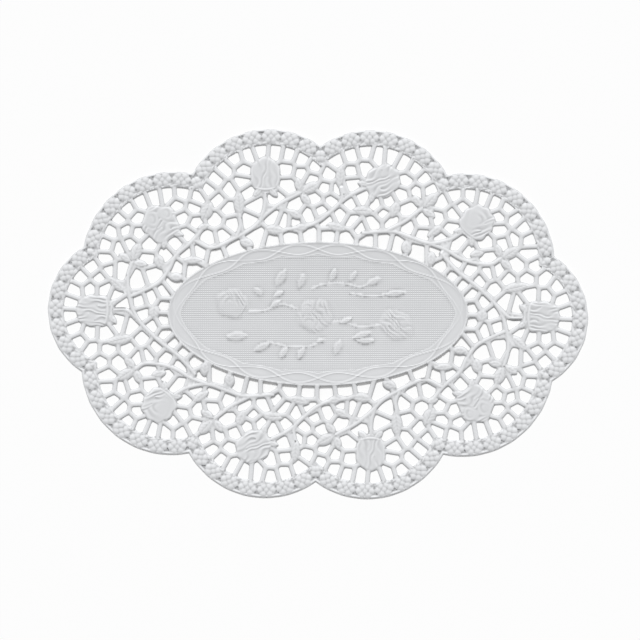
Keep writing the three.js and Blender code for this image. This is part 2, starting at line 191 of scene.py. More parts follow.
def add_ramp(
    tree: bpy.types.NodeTree,
    share: bpy.types.NodeSocket,
    dark: Colour,
    light: Colour,
    ends: tuple[float, float] = (0.0, 1.0),
) -> bpy.types.NodeSocket:
    """Adds a ramp between two colours.

    Args:
        tree: The node tree that it goes into.
        share: The value that it reads.
        dark: Colour at the lower end.
        light: Colour at the upper end.
        ends: Values at the two ends.

    Returns:
        The ramp's colour.
    """
    ramp = add_node(tree, "ValToRGB")
    for element, position, colour in zip(ramp.color_ramp.elements, ends, (dark, light)):
        element.position = position
        element.color = (*colour, 1)
    tree.links.new(share, ramp.inputs["Fac"])
    return ramp.outputs["Color"]


class RoseKind(Enum):
    """How a rose is drawn."""

    FAN = "seen from its side, with long swaying petals"
    SWIRL = "seen from above, with petals wrapped round a smooth heart"
    CUP = "seen from its side, with collars at its foot"
    OPEN = "seen from above, with ruffles and two hearts"
    BUD = "closed, with straight petals over collars"


class Zone(IntEnum):
    """What a part of the sheet draws."""

    BAR = 0
    MOTIF = 1
    ROSE = 2
    BORDER = 3
    BOUQUET = 4
    GROUND = 5
    BAND = 6


@dataclass(frozen=True)
class Disc:
    """The circle that one scallop of the edge follows, clockwise.

    Attributes:
        centre_x: Centre.
        centre_y: Centre.
        radius: Radius.
        start: Angle of its first notch in radians.
        sweep: Angle from notch to notch in radians.
    """

    centre_x: float
    centre_y: float
    radius: float
    start: float
    sweep: float

    @classmethod
    def through(cls, first: Array, last: Array, bulge: float) -> Disc:
        """Makes the circle through two notches that bulges outwards between them.

        Args:
            first: The first notch.
            last: The next notch, clockwise.
            bulge: Height of the arc over its chord.

        Returns:
            The disc.
        """
        chord = last - first
        length = float(np.hypot(*chord))
        radius = (length * length / 4 + bulge * bulge) / (2 * bulge)
        outwards = np.array([-chord[1], chord[0]]) / length
        x, y = (first + last) / 2 + outwards * (bulge - radius)
        start = math.atan2(first[1] - y, first[0] - x)
        end = math.atan2(last[1] - y, last[0] - x)
        return cls(float(x), float(y), radius, start, (start - end) % (2 * math.pi))

    def inset(self, x: Array, y: Array) -> Array:
        """Gives how far places lie inside the circle."""
        return self.radius - np.hypot(x - self.centre_x, y - self.centre_y)

    def row(self, spacing: float, inset: float) -> Array:
        """Gives evenly spaced places along the arc.

        Args:
            spacing: Wanted distance between places.
            inset: How far in from the edge they lie.

        Returns:
            An array of x, y rows, clockwise.
        """
        radius = self.radius - inset
        count = round(radius * self.sweep / spacing)
        angle = self.start - self.sweep * (np.arange(count) + 0.5) / count
        return self.places(angle, radius)

    def places(self, angle: Array, radius: Array | float) -> Array:
        """Gives the places at angles and distances from the centre, as x, y rows."""
        return np.stack([radius * np.cos(angle) + self.centre_x, radius * np.sin(angle) + self.centre_y], 1)

    def along(self, x: Array, y: Array) -> Array:
        """Gives the share of the arc at which places lie, from 0 to 1."""
        angle = np.arctan2(y - self.centre_y, x - self.centre_x)
        return ((self.start - angle + math.pi) % (2 * math.pi) - math.pi) / self.sweep


@dataclass(frozen=True)
class Placed:
    """Something with a place and a direction.

    Attributes:
        x: Middle.
        y: Middle.
        turn: Direction in degrees from +X.
    """

    x: float
    y: float
    turn: float

    def opposite(self) -> Placed:
        """Gives the same thing in the other half of the design."""
        return replace(self, x=-self.x, y=-self.y, turn=self.turn + 180)

    def beside(self, offset: float, distance: float) -> tuple[float, float]:
        """Gives the place at an angle from the direction, in degrees, and at a distance."""
        angle = math.radians(self.turn + offset)
        return self.x + distance * math.cos(angle), self.y + distance * math.sin(angle)

    def seen(self, x: Array, y: Array) -> tuple[Array, Array]:
        """Gives places as distances along and across the direction."""
        cos, sin = math.cos(math.radians(self.turn)), math.sin(math.radians(self.turn))
        return (x - self.x) * cos + (y - self.y) * sin, (y - self.y) * cos - (x - self.x) * sin

    @property
    def reach(self) -> float:
        """How far it reaches from its middle."""
        return 0.0

    def near(self, x: Array, y: Array, margin: float) -> Array:
        """Marks the places that lie within its reach and a margin."""
        reach = self.reach + margin
        return (np.abs(x - self.x) < reach) & (np.abs(y - self.y) < reach)


@dataclass(frozen=True)
class Leaf(Placed):
    """A leaf, the overlap of two circles.

    Attributes:
        length: Tip to tip.
        width: Widest part.
    """

    length: float
    width: float

    @property
    def reach(self) -> float:
        """Half of the length."""
        return self.length / 2

    def outside(self, x: Array, y: Array) -> Array:
        """Gives how far places lie outside the leaf.

        Args:
            x, y: Places.

        Returns:
            Distances, below 0 on the leaf.
        """
        along, across = self.seen(x, y)
        half, bulge = self.length / 2, self.width / 2
        radius = (half * half + bulge * bulge) / (2 * bulge)
        return np.hypot(along, np.abs(across) + radius - bulge) - radius


def leaves_at(*rows: tuple[float, float, float, float, float]) -> tuple[Leaf, ...]:
    """Makes leaves from rows of place x and y, direction, length and width."""
    return tuple(Leaf(*row) for row in rows)


@dataclass(frozen=True)
class Rose(Placed):
    """A rose, an oval with lobes.

    Attributes:
        half_length: Reach along its direction.
        half_width: Reach across.
        lobes: Number of lobes round its edge.
        ripple: Depth of the lobes as a share of its size.
        square: Power of the oval, 2 for an ellipse and more for a fuller one.
        kind: How its petals are drawn.
    """

    half_length: float
    half_width: float
    lobes: int
    ripple: float
    square: float
    kind: RoseKind

    @property
    def reach(self) -> float:
        """The larger of the two half sizes, with the lobes."""
        return max(self.half_length, self.half_width) * (1 + self.ripple)

    @property
    def least_half(self) -> float:
        """The smaller of the two half sizes."""
        return min(self.half_length, self.half_width)

    def shares(self, x: Array, y: Array) -> tuple[Array, Array]:
        """Gives the shares of the half sizes at which places lie, along and across."""
        along, across = self.seen(x, y)
        return along / self.half_length, across / self.half_width

    def oval(self, u: Array, v: Array) -> Array:
        """Gives how far out shares lie, 1 on the oval."""
        return (np.abs(u) ** self.square + np.abs(v) ** self.square) ** (1 / self.square)

    def edge(self, u: Array, v: Array) -> Array:
        """Gives how far out the lobed edge lies in the direction of shares, 1 on the oval."""
        return 1 + self.ripple * np.cos(self.lobes * np.arctan2(v, u))

    def out(self, x: Array, y: Array) -> tuple[Array, Array, Array]:
        """Gives the shares along and across, and the share of the way to the edge."""
        u, v = self.shares(x, y)
        return u, v, self.oval(u, v) / self.edge(u, v)

    def outside(self, x: Array, y: Array) -> Array:
        """Gives how far places lie outside the rose."""
        u, v = self.shares(x, y)
        return (self.oval(u, v) - self.edge(u, v)) * self.least_half


@dataclass(frozen=True)
class Stem:
    """A stem, a smooth curve through places.

    Attributes:
        line: Points of the curve as x, y rows.
        width: Its width.
    """

    line: Array
    width: float

    @classmethod
    def through(cls, places: tuple[tuple[float, float], ...], steps: int, width: float) -> Stem:
        """Makes the curve that passes through all the places.

        Args:
            places: The places, from the medallion outwards.
            steps: Points to each span.
            width: The stem's width.

        Returns:
            The stem.
        """
        points = np.array(places)
        ends = 2 * points[[0, -1]] - points[[1, -2]]
        padded = np.vstack([ends[:1], points, ends[1:]])
        share = (np.arange(steps) / steps)[:, None]
        spans = []
        for a, b, c, d in zip(padded, padded[1:], padded[2:], padded[3:]):
            leave, arrive = (c - a) / 2, (d - b) / 2
            cubic = 2 * b - 2 * c + leave + arrive
            square = -3 * b + 3 * c - 2 * leave - arrive
            spans.append(((cubic * share + square) * share + leave) * share + b)
        return cls(np.vstack([*spans, points[-1:]]), width)

    def opposite(self) -> Stem:
        """Gives the stem of the other half of the design."""
        return Stem(-self.line, self.width)

    def near(self, x: Array, y: Array, margin: float) -> Array:
        """Marks the places that lie within a margin of the box round the curve."""
        low, high = self.line.min(0) - margin, self.line.max(0) + margin
        return (x > low[0]) & (x < high[0]) & (y > low[1]) & (y < high[1])

    def outside(self, x: Array, y: Array) -> Array:
        """Gives how far places lie outside the stem.

        Args:
            x, y: Places.

        Returns:
            Distances, below 0 on the stem.
        """
        nearest = np.full(x.shape, np.inf)
        for a, b in zip(self.line, self.line[1:]):
            span = b - a
            share = np.clip(((x - a[0]) * span[0] + (y - a[1]) * span[1]) / (span @ span), 0, 1)
            nearest = np.minimum(nearest, np.hypot(x - a[0] - share * span[0], y - a[1] - share * span[1]))
        return nearest - self.width / 2


@dataclass
class Design:
    """The layout of the doily in millimetres: edge, medallion, roses, leaves and stems.

    The tables hold one half, and the other is the same turned by 180 degrees.

    Attributes:
        band_width: Width of the beaded band along the edge.
        medallion: Half sizes of the oval medallion.
        stem_width: Width of a stem.
        stem_steps: Points to each span of a stem.
        window: How far round a motif its distance counts.
        scallops: Notch x and y, and the height of the arc to the next notch.
        border_roses: The roses.
        sepals: Where a sepal sits and how it turns, as angles from its rose's direction, its
            length and width.
        border_leaves: The leaves, apart from sepals and leaflets.
        sprigs: Ends of stems that carry leaflets.
        leaflets: How a leaflet turns from its sprig's direction, its length and width.
        stem_places: Places that each stem passes through, outwards.
    """

    band_width: float = 7.8
    medallion: tuple[float, float] = (73.6, 35.3)
    stem_width: float = 2.4
    stem_steps: int = 6
    window: float = 6.0
    scallops: tuple[tuple[float, float, float], ...] = (
        (1.2, 82.4, 14.1),
        (63.5, 68.2, 14.8),
        (116.0, 28.2, 17.0),
        (115.0, -32.9, 13.6),
        (61.6, -68.9, 14.4),
    )
    border_roses: tuple[Rose, ...] = (
        Rose(31.6, 65.0, 32, 9.2, 7.8, 7, 0.05, 2.3, RoseKind.FAN),
        Rose(77.8, 44.6, 50, 9.0, 8.2, 9, 0.04, 2.3, RoseKind.SWIRL),
        Rose(109.4, -1.6, -2, 9.3, 7.9, 9, 0.03, 2.6, RoseKind.CUP),
        Rose(77.2, -44.2, -55, 9.6, 8.8, 5, 0.07, 2.2, RoseKind.OPEN),
        Rose(25.8, -68.0, -90, 9.2, 7.6, 6, 0.03, 2.1, RoseKind.BUD),
    )
    sepals: tuple[tuple[float, float, float, float], ...] = ((156, 136, 7.0, 3.6), (204, 224, 7.0, 3.6))
    border_leaves: tuple[Leaf, ...] = leaves_at(
        (11.0, 67.4, 84, 12.0, 5.2), (22.2, 50.4, -8, 11.0, 5.6), (9.0, 42.6, -16, 10.4, 5.0),
        (-8.0, 42.4, 8, 7.6, 4.4), (37.8, 51.2, 66, 9.4, 5.2), (57.6, 40.6, 34, 10.2, 4.6),
        (43.4, 32.6, -88, 7.8, 5.2), (55.4, 27.0, -98, 7.6, 5.2), (78.0, 29.4, 12, 7.6, 4.4),
        (97.0, 12.8, 10, 15.0, 5.6), (80.4, -1.0, 82, 7.6, 6.0), (98.6, -14.4, -44, 11.2, 5.0),
        (69.6, -18.0, 176, 8.2, 4.6), (61.6, -26.2, 182, 11.4, 4.2), (78.0, -25.6, 104, 8.0, 5.4),
        (35.0, -34.8, 158, 7.6, 5.0), (21.4, -41.2, 172, 10.6, 5.4), (11.4, -48.8, 152, 9.4, 4.4),
        (38.6, -54.0, -86, 14.0, 5.8), (54.6, -50.4, 64, 10.6, 6.6), (56.2, -42.6, 20, 6.6, 3.8),
    )
    sprigs: tuple[Placed, ...] = (
        Placed(51.0, 51.6, 44),
        Placed(89.6, 27.0, 30),
        Placed(91.2, -25.2, -112),
        Placed(8.6, -59.4, 205),
    )
    leaflets: tuple[tuple[float, float, float], ...] = ((0, 11.0, 5.8), (78, 8.0, 4.2), (-78, 8.0, 4.2))
    stem_places: tuple[tuple[tuple[float, float], ...], ...] = (
        ((-14.8, 41.4), (-2.6, 43.9), (6.4, 50.2), (14.0, 57.0), (23.0, 61.6)),
        ((22.0, 39.6), (36.0, 40.4), (45.0, 37.6), (54.4, 34.6), (64.0, 36.2), (71.4, 40.6)),
        ((54.4, 34.6), (62.6, 31.4), (72.0, 26.2), (84.0, 24.2), (89.6, 27.0)),
        ((34.0, 40.8), (43.0, 45.6), (51.0, 51.6)),
        ((60.4, 29.6), (68.0, 21.2), (80.4, 11.2), (89.0, 1.8), (92.4, -8.4), (93.4, -17.0), (91.2, -25.2)),
        ((88.6, 2.4), (94.0, -1.8), (100.0, -2.0)),
        (
            (92.4, -8.4), (84.2, -12.0), (77.6, -15.8), (73.0, -22.0),
            (69.6, -28.6), (61.0, -36.2), (56.0, -43.0),
        ),
        (
            (61.0, -36.2), (52.0, -32.4), (41.0, -37.0), (31.6, -42.4),
            (25.6, -48.6), (17.8, -54.4), (8.6, -59.4),
        ),
        ((28.4, -45.4), (26.2, -52.0), (25.8, -59.0)),
        ((40.0, -37.6), (38.0, -43.0), (38.4, -48.6)),
        ((11.4, 61.8), (12.0, 57.4), (10.4, 53.6)),
    )

    def __post_init__(self) -> None:
        """Works out both halves of the layout."""
        half = [np.array(row[:2]) for row in self.scallops]
        notches = half + [-notch for notch in half]
        after = notches[1:] + notches[:1]
        bulges = [row[2] for row in self.scallops] * 2
        self.discs = [Disc.through(a, b, bulge) for a, b, bulge in zip(notches, after, bulges)]
        leaves = list(self.border_leaves)
        for sprig in self.sprigs:
            for turn, length, width in self.leaflets:
                leaves.append(Leaf(*sprig.beside(turn, length / 2), sprig.turn + turn, length, width))
        for rose in self.border_roses:
            for offset, turn, length, width in self.sepals:
                leaves.append(Leaf(*rose.beside(offset, rose.half_length), rose.turn + turn, length, width))
        self.roses = self.both(self.border_roses)
        self.leaves = self.both(leaves)
        stems = [Stem.through(places, self.stem_steps, self.stem_width) for places in self.stem_places]
        self.stems = self.both(stems)

    @staticmethod
    def both(items: Sequence[Leaf | Rose | Stem]) -> list[Leaf | Rose | Stem]:
        """Gives half of the design and the same turned by 180 degrees."""
        return [*items, *(item.opposite() for item in items)]

    def outside_medallion(self, x: Array, y: Array) -> Array:
        """Gives about how far places lie outside the medallion.

        Args:
            x, y: Places.

        Returns:
            Distances, below 0 on the medallion.
        """
        a, b = self.medallion
        level = np.hypot(x / a, y / b)
        slope = np.hypot(x / a**2, y / b**2) / np.maximum(level, TINY)
        return (level - 1) / np.maximum(slope, TINY)

    def inside_edge(self, x: Array, y: Array) -> Array:
        """Gives how far places outside the medallion lie inside the scalloped edge."""
        return np.max([disc.inset(x, y) for disc in self.discs], axis=0)

    def clear_space(self, x: Array, y: Array) -> Array:
        """Gives the distance to the nearest thing that the net leaves room for.

        Args:
            x, y: Places.

        Returns:
            A distance that is positive on the net's own ground.
        """
        medallion = self.outside_medallion(x, y)
        band = self.inside_edge(x, y) - self.band_width
        clear = np.minimum(medallion, band)
        for item in [*self.roses, *self.leaves, *self.stems]:
            near = item.near(x, y, self.window)
            if near.any():
                clear[near] = np.minimum(clear[near], item.outside(x[near], y[near]))
        return np.where(medallion < 0, medallion, np.where(band < 0, band, clear))


@dataclass
class Net:
    """The bars between the motifs, grown as cells round seeds.

    Attributes:
        design: The layout that the net fills.
        bar_width: Width of a bar.
        seed_gap: Least distance between seeds.
        hug: How far rows of seeds stand off the edges that they follow.
        clearance: Least distance from a seed to an edge.
        band_spacing: Distance between the seeds that follow the band.
        medallion_seeds: Seeds round the medallion.
        rose_seeds: Seeds round a rose.
        scatter_count: Places tried in the even scatter.
        scatter_size: Width and depth of the scatter.
        scatter_steps: Shares by which the scatter steps on.
        relax_rounds: Rounds that even out the cells.
        relax_step: Grid of the ground for those rounds.
        half_field: Half sizes of the field.
        neighbours: Nearest seeds that can share a bar with a seed.
        stem_start: Point of a stem's line with its first seeds.
        stem_stride: Points of a stem's line from seed to seed.
        batch: Places that are compared with the seeds at once.
    """

    design: Design
    bar_width: float = 2.4
    seed_gap: float = 5.0
    hug: float = 3.1
    clearance: float = 1.0
    band_spacing: float = 6.4
    medallion_seeds: int = 50
    rose_seeds: int = 10
    scatter_count: int = 6000
    scatter_size: tuple[float, float] = (270.0, 190.0)
    scatter_steps: tuple[float, float] = (0.7548776662, 0.569840291)
    relax_rounds: int = 4
    relax_step: float = 1.0
    half_field: tuple[float, float] = (134.0, 93.0)
    neighbours: int = 16
    stem_start: int = 2
    stem_stride: int = 4
    batch: int = 20000

    def __post_init__(self) -> None:
        """Plants and evens out the seeds."""
        ground = self.open_ground()
        half = self.planted()
        for _ in range(self.relax_rounds):
            half = self.relaxed(half, ground)
        self.seeds = np.vstack([half, -half])
        apart = np.hypot(*(self.seeds[:, None] - self.seeds[None]).transpose(2, 0, 1))
        self.order = np.argsort(apart, axis=1)[:, 1 : self.neighbours + 1]
        self.gaps = np.take_along_axis(apart, self.order, axis=1)

    def candidates(self) -> Array:
        """Lists the places that are tried for seeds, in order.

        Returns:
            An array of x, y rows.
        """
        rows = [disc.row(self.band_spacing, self.design.band_width + self.hug) for disc in self.design.discs]
        angle = 2 * math.pi * np.arange(self.medallion_seeds) / self.medallion_seeds
        a, b = self.design.medallion
        rows.append(np.stack([(a + self.hug) * np.cos(angle), (b + self.hug) * np.sin(angle)], 1))
        for rose in self.design.roses:
            angle = math.radians(rose.turn) + 2 * math.pi * np.arange(self.rose_seeds) / self.rose_seeds
            reach_x, reach_y = rose.half_length + self.hug, rose.half_width + self.hug
            rows.append(np.stack([rose.x + reach_x * np.cos(angle), rose.y + reach_y * np.sin(angle)], 1))
        rows += [self.beside(stem) for stem in self.design.stems]
        count = np.arange(1, self.scatter_count)[:, None]
        rows.append(np.array(self.scatter_size) * ((count * np.array(self.scatter_steps)) % 1 - 0.5))
        return np.vstack(rows)

    def beside(self, stem: Stem) -> Array:
        """Gives places to both sides of a stem.

        Args:
            stem: The stem.

        Returns:
            An array of x, y rows.
        """
        reach = stem.width / 2 + self.hug
        found = []
        for i in range(self.stem_start, len(stem.line), self.stem_stride):
            along = stem.line[i] - stem.line[i - self.stem_start]
            along = along / np.hypot(*along)
            across = np.array([-along[1], along[0]])
            found += [stem.line[i] + reach * across, stem.line[i] - reach * across]
        return np.array(found)

    def planted(self) -> Array:
        """Plants the seeds of the upper half: each candidate that has room, first come first served.

        Returns:
            The seeds as x, y rows.
        """
        places = self.candidates()
        places = places[places[:, 1] >= 0]
        places = places[self.design.clear_space(places[:, 0], places[:, 1]) >= self.clearance]
        kept = np.empty((0, 2))
        for place in places:
            others = np.vstack([kept, -kept, -place[None]])
            if np.hypot(*(others - place).T).min() >= self.seed_gap:
                kept = np.vstack([kept, place])
        return kept

    def open_ground(self) -> Array:
        """Sets a grid of places on the net's own ground.

        Returns:
            An array of x, y rows.
        """
        half_x, half_y = self.half_field
        x, y = np.meshgrid(
            np.arange(-half_x, half_x + TINY, self.relax_step),
            np.arange(-half_y, half_y + TINY, self.relax_step),
        )
        x, y = x.ravel(), y.ravel()
        clear = self.design.clear_space(x, y) > 0
        return np.stack([x[clear], y[clear]], 1)

    def nearest(self, seeds: Array, places: Array) -> Array:
        """Finds the seed nearest to each place.

        Args:
            seeds: The seeds as x, y rows.
            places: The places as x, y rows.

        Returns:
            The index of a seed for each place.
        """
        found = np.empty(len(places), int)
        for start in range(0, len(places), self.batch):
            part = places[start : start + self.batch]
            squares = (part[:, 0, None] - seeds[:, 0]) ** 2 + (part[:, 1, None] - seeds[:, 1]) ** 2
            found[start : start + self.batch] = squares.argmin(1)
        return found

    def relaxed(self, half: Array, ground: Array) -> Array:
        """Moves each seed to the middle of its own open ground.

        Args:
            half: Seeds of the upper half.
            ground: Places on the net's ground.

        Returns:
            The moved seeds of the upper half.
        """
        own = self.nearest(np.vstack([half, -half]), ground)
        count = np.bincount(own, minlength=2 * len(half))[: len(half)]
        sums = [np.bincount(own, ground[:, axis], 2 * len(half))[: len(half)] for axis in (0, 1)]
        return np.stack(sums, 1) / count[:, None]

    def inside_cell(self, x: Array, y: Array) -> Array:
        """Gives how far places lie inside their cell, past the half bar that borders it.

        Args:
            x, y: Places.

        Returns:
            Distances, below 0 on a bar.
        """
        places = np.stack([x, y], 1)
        own = self.nearest(self.seeds, places)
        own_square = ((places - self.seeds[own]) ** 2).sum(1)
        inset = np.full(len(places), np.inf)
        for column in range(self.neighbours):
            other = self.seeds[self.order[own, column]]
            further = ((places - other) ** 2).sum(1) - own_square
            inset = np.minimum(inset, further / (2 * self.gaps[own, column]))
        return inset - self.bar_width / 2


@dataclass
class Lattice:
    """A regular grid over the doily with the fields of its holes and bars.

    Attributes:
        design: The layout.
        net: The bars.
        step: Grid step.
        blur: Radius by which corners are rounded, in grid steps.
        blur_reach: Grid steps to each side that the rounding takes in.
        limit: Distances beyond this are cut off.
        margin: How far the bars run on under the band and the medallion.
        end_gap: How far before the end of a row reading stops, in grid steps.
        least_points: Fewest points to a hole's edge.
    """

    design: Design
    net: Net
    step: float = 0.3
    blur: float = 0.95
    blur_reach: int = 4
    limit: float = 1.6
    margin: float = 1.0
    end_gap: float = 1.001
    least_points: int = 9

    def __post_init__(self) -> None:
        """Samples the fields."""
        half_x, half_y = self.net.half_field
        self.low = np.array([-half_x, -half_y])
        columns, rows = (np.arange(math.ceil(2 * half / self.step) + 1) for half in self.net.half_field)
        x, y = np.meshgrid(self.low[0] + self.step * columns, self.low[1] + self.step * rows)
        past_medallion = self.design.outside_medallion(x, y) > -self.margin
        ring = past_medallion & (self.design.inside_edge(x, y) > self.design.band_width - self.margin)
        cell = np.full(x.shape, -self.limit)
        cell[ring] = self.net.inside_cell(x[ring], y[ring])
        hole = np.minimum(self.design.clear_space(x, y), cell)
        self.cell = self.softened(np.clip(cell, -self.limit, self.limit))
        self.hole = self.softened(np.clip(hole, -self.limit, self.limit))

    def softened(self, values: Array) -> Array:
        """Rounds the corners of a field.

        Args:
            values: The field.

        Returns:
            The same field, softer.
        """
        reach = self.blur_reach
        weights = np.exp(-((np.arange(-reach, reach + 1) / self.blur) ** 2) / 2)
        weights /= weights.sum()
        for axis in (0, 1):
            padded = np.pad(values, [(reach, reach) if axis == k else (0, 0) for k in (0, 1)], mode="edge")
            places = np.arange(values.shape[axis])
            shifted = (np.take(padded, places + shift, axis=axis) for shift in range(len(weights)))
            values = sum(weight * part for weight, part in zip(weights, shifted))
        return values

    def at(self, values: Array, x: Array, y: Array) -> Array:
        """Reads a field between its grid points.

        Args:
            values: The field.
            x, y: Places.

        Returns:
            The field's values.
        """
        column = np.clip((x - self.low[0]) / self.step, 0, values.shape[1] - self.end_gap)
        row = np.clip((y - self.low[1]) / self.step, 0, values.shape[0] - self.end_gap)
        i, j = column.astype(int), row.astype(int)
        u, v = column - i, row - j
        lower = values[j, i] * (1 - u) + values[j, i + 1] * u
        upper = values[j + 1, i] * (1 - u) + values[j + 1, i + 1] * u
        return lower * (1 - v) + upper * v

    def hole_edges(self, least_area: float, spacing: float) -> list[Array]:
        """Traces the edges of the holes.

        Args:
            least_area: Holes smaller than this are left out, in square millimetres.
            spacing: Distance between points along an edge.

        Returns:
            Closed loops of x, y rows, with the hole to the left.
        """
        inside = self.hole > 0
        bits = inside[:-1, :-1] + 2 * inside[:-1, 1:] + 4 * inside[1:, 1:] + 8 * inside[1:, :-1]
        links: dict[tuple[int, int, int], tuple[int, int, int]] = {}
        for j, i in zip(*np.nonzero((bits > 0) & (bits < 15))):
            j, i = int(j), int(i)
            sides = {"bottom": (j, i, 0), "top": (j + 1, i, 0), "left": (j, i, 1), "right": (j, i + 1, 1)}
            names = CROSSINGS[int(bits[j, i])]
            for enter, leave in zip(names[::2], names[1::2]):
                links[sides[enter]] = sides[leave]
        loops = []
        while links:
            key = next(iter(links))
            loop = []
            while key in links:
                loop.append(self.crossing(key))
                key = links.pop(key)
            loops.append(np.array(loop))
        return [self.evened(loop, spacing) for loop in loops if self.area(loop) > least_area]

    def crossing(self, key: tuple[int, int, int]) -> tuple[float, float]:
        """Gives the place where an edge crosses a side of a square.

        Args:
            key: Row and column of the side's first corner, and 1 where it is upright.

        Returns:
            The place in millimetres.
        """
        j, i, upright = key
        first = self.hole[j, i]
        second = self.hole[j + 1, i] if upright else self.hole[j, i + 1]
        share = first / (first - second)
        x = self.low[0] + self.step * (i + (0 if upright else share))
        y = self.low[1] + self.step * (j + (share if upright else 0))
        return x, y

    @staticmethod
    def area(loop: Array) -> float:
        """Gives the area that a loop encloses, positive counterclockwise."""
        x, y = loop.T
        return float((x * np.roll(y, -1) - y * np.roll(x, -1)).sum() / 2)

    def evened(self, loop: Array, spacing: float) -> Array:
        """Sets points evenly along a closed loop.

        Args:
            loop: The loop as x, y rows.
            spacing: Wanted distance between points.

        Returns:
            The new loop.
        """
        closed = np.vstack([loop, loop[:1]])
        length = np.concatenate([[0.0], np.cumsum(np.hypot(*np.diff(closed, axis=0).T))])
        count = max(self.least_points, round(length[-1] / spacing))
        places = np.arange(count) * length[-1] / count
        return np.stack([np.interp(places, length, closed[:, axis]) for axis in (0, 1)], 1)


@dataclass(frozen=True)
class Flow:
    """Petals that lie side by side, sway, and part or join at forks.

    Attributes:
        count: Petals to half of the rose's width.
        sway: How far the petals sway.
        forks: Share along and across, and side, of each place where a petal starts or ends.
        level: Height share to which the weaker petals fade.
    """

    count: float
    sway: float
    forks: tuple[tuple[float, float, int], ...]
    level: float = 0.6

    def height(self, across: Array, along: Array) -> Array:
        """Gives the petals.

        Args:
            across: Share across the petals.
            along: Share along them.

        Returns:
            A share from 0 to 1.
        """
        # The petals sway, then crowd and spread, and no two are equally strong all along.
        turns = self.count * (across + self.sway * np.sin(2.7 * along + 2.1 * across + 0.8))
        crowding = 0.24 * np.sin(2.3 * self.count * across + 3.1 * along)
        turns += crowding + 0.14 * np.sin(7.3 * along - 4.0 * across)
        for fork_along, fork_across, side in self.forks:
            turns = turns + side * np.arctan2(across - fork_across, along - fork_along) / (2 * math.pi)
        strength = 0.62 + 0.38 * np.sin(4.3 * along + 5.9 * across + 1.7 * np.sin(5.1 * across))
        return self.level + (folds(turns) - self.level) * strength


@dataclass(frozen=True)
class Foot:
    """The foot of a rose, where two collars take the place of the petals.

    Attributes:
        start: Share towards the foot at which the petals start to fade.
        end: Share at which they are gone.
        collars: Shares along the rose at which the collars cross it.
        bend: How far the collars bend.
        half_width: Half of a collar's width.
    """

    start: float
    end: float
    collars: tuple[float, float]
    bend: float = 0.22
    half_width: float = 0.075

    def under(self, petals: Array, u: Array, v: Array, strength: float = 1.0) -> Array:
        """Puts the foot under petals.

        Args:
            petals: Height shares of the petals.
            u: Shares along the rose.
            v: Shares across it.
            strength: How much of the petals' height is kept.

        Returns:
            Height shares of petals and foot.
        """
        foot = step_up(-u, self.start, self.end)
        first, second = (ridge(u - place - self.bend * v * v, self.half_width) for place in self.collars)
        return strength * (petals * (1 - foot)) + foot * np.maximum(first, second)


@dataclass(frozen=True)
class Heart:
    """A round heart with petals in arcs about it.

    Attributes:
        u: Its middle as a share along the rose.
        v: Its middle as a share across it.
        reach: Reach of its outermost arc.
        arcs: Arcs from its middle to its reach.
    """

    u: float
    v: float
    reach: float
    arcs: float = 1.5

    def height(self, u: Array, v: Array) -> tuple[Array, Array]:
        """Gives the heart.

        Args:
            u: Shares along the rose.
            v: Shares across it.

        Returns:
            The height share and a mask of its place.
        """
        du, dv = u - self.u, v - self.v
        angle = np.arctan2(dv, du)
        out = np.hypot(du, dv) / self.reach * (1 + 0.1 * np.cos(3 * angle + 1))
        turns = self.arcs * out + 0.3 * np.sin(angle) + 0.12 * np.sin(3 * angle)
        side = 0.3 + 0.7 * step_up(np.cos(angle + 2.4), -0.6, 0.8)
        return 0.85 - 0.5 * side * step_up(out, 0.1, 0.7) * waves(turns), step_up(1.2 - out, 0.0, 0.4)


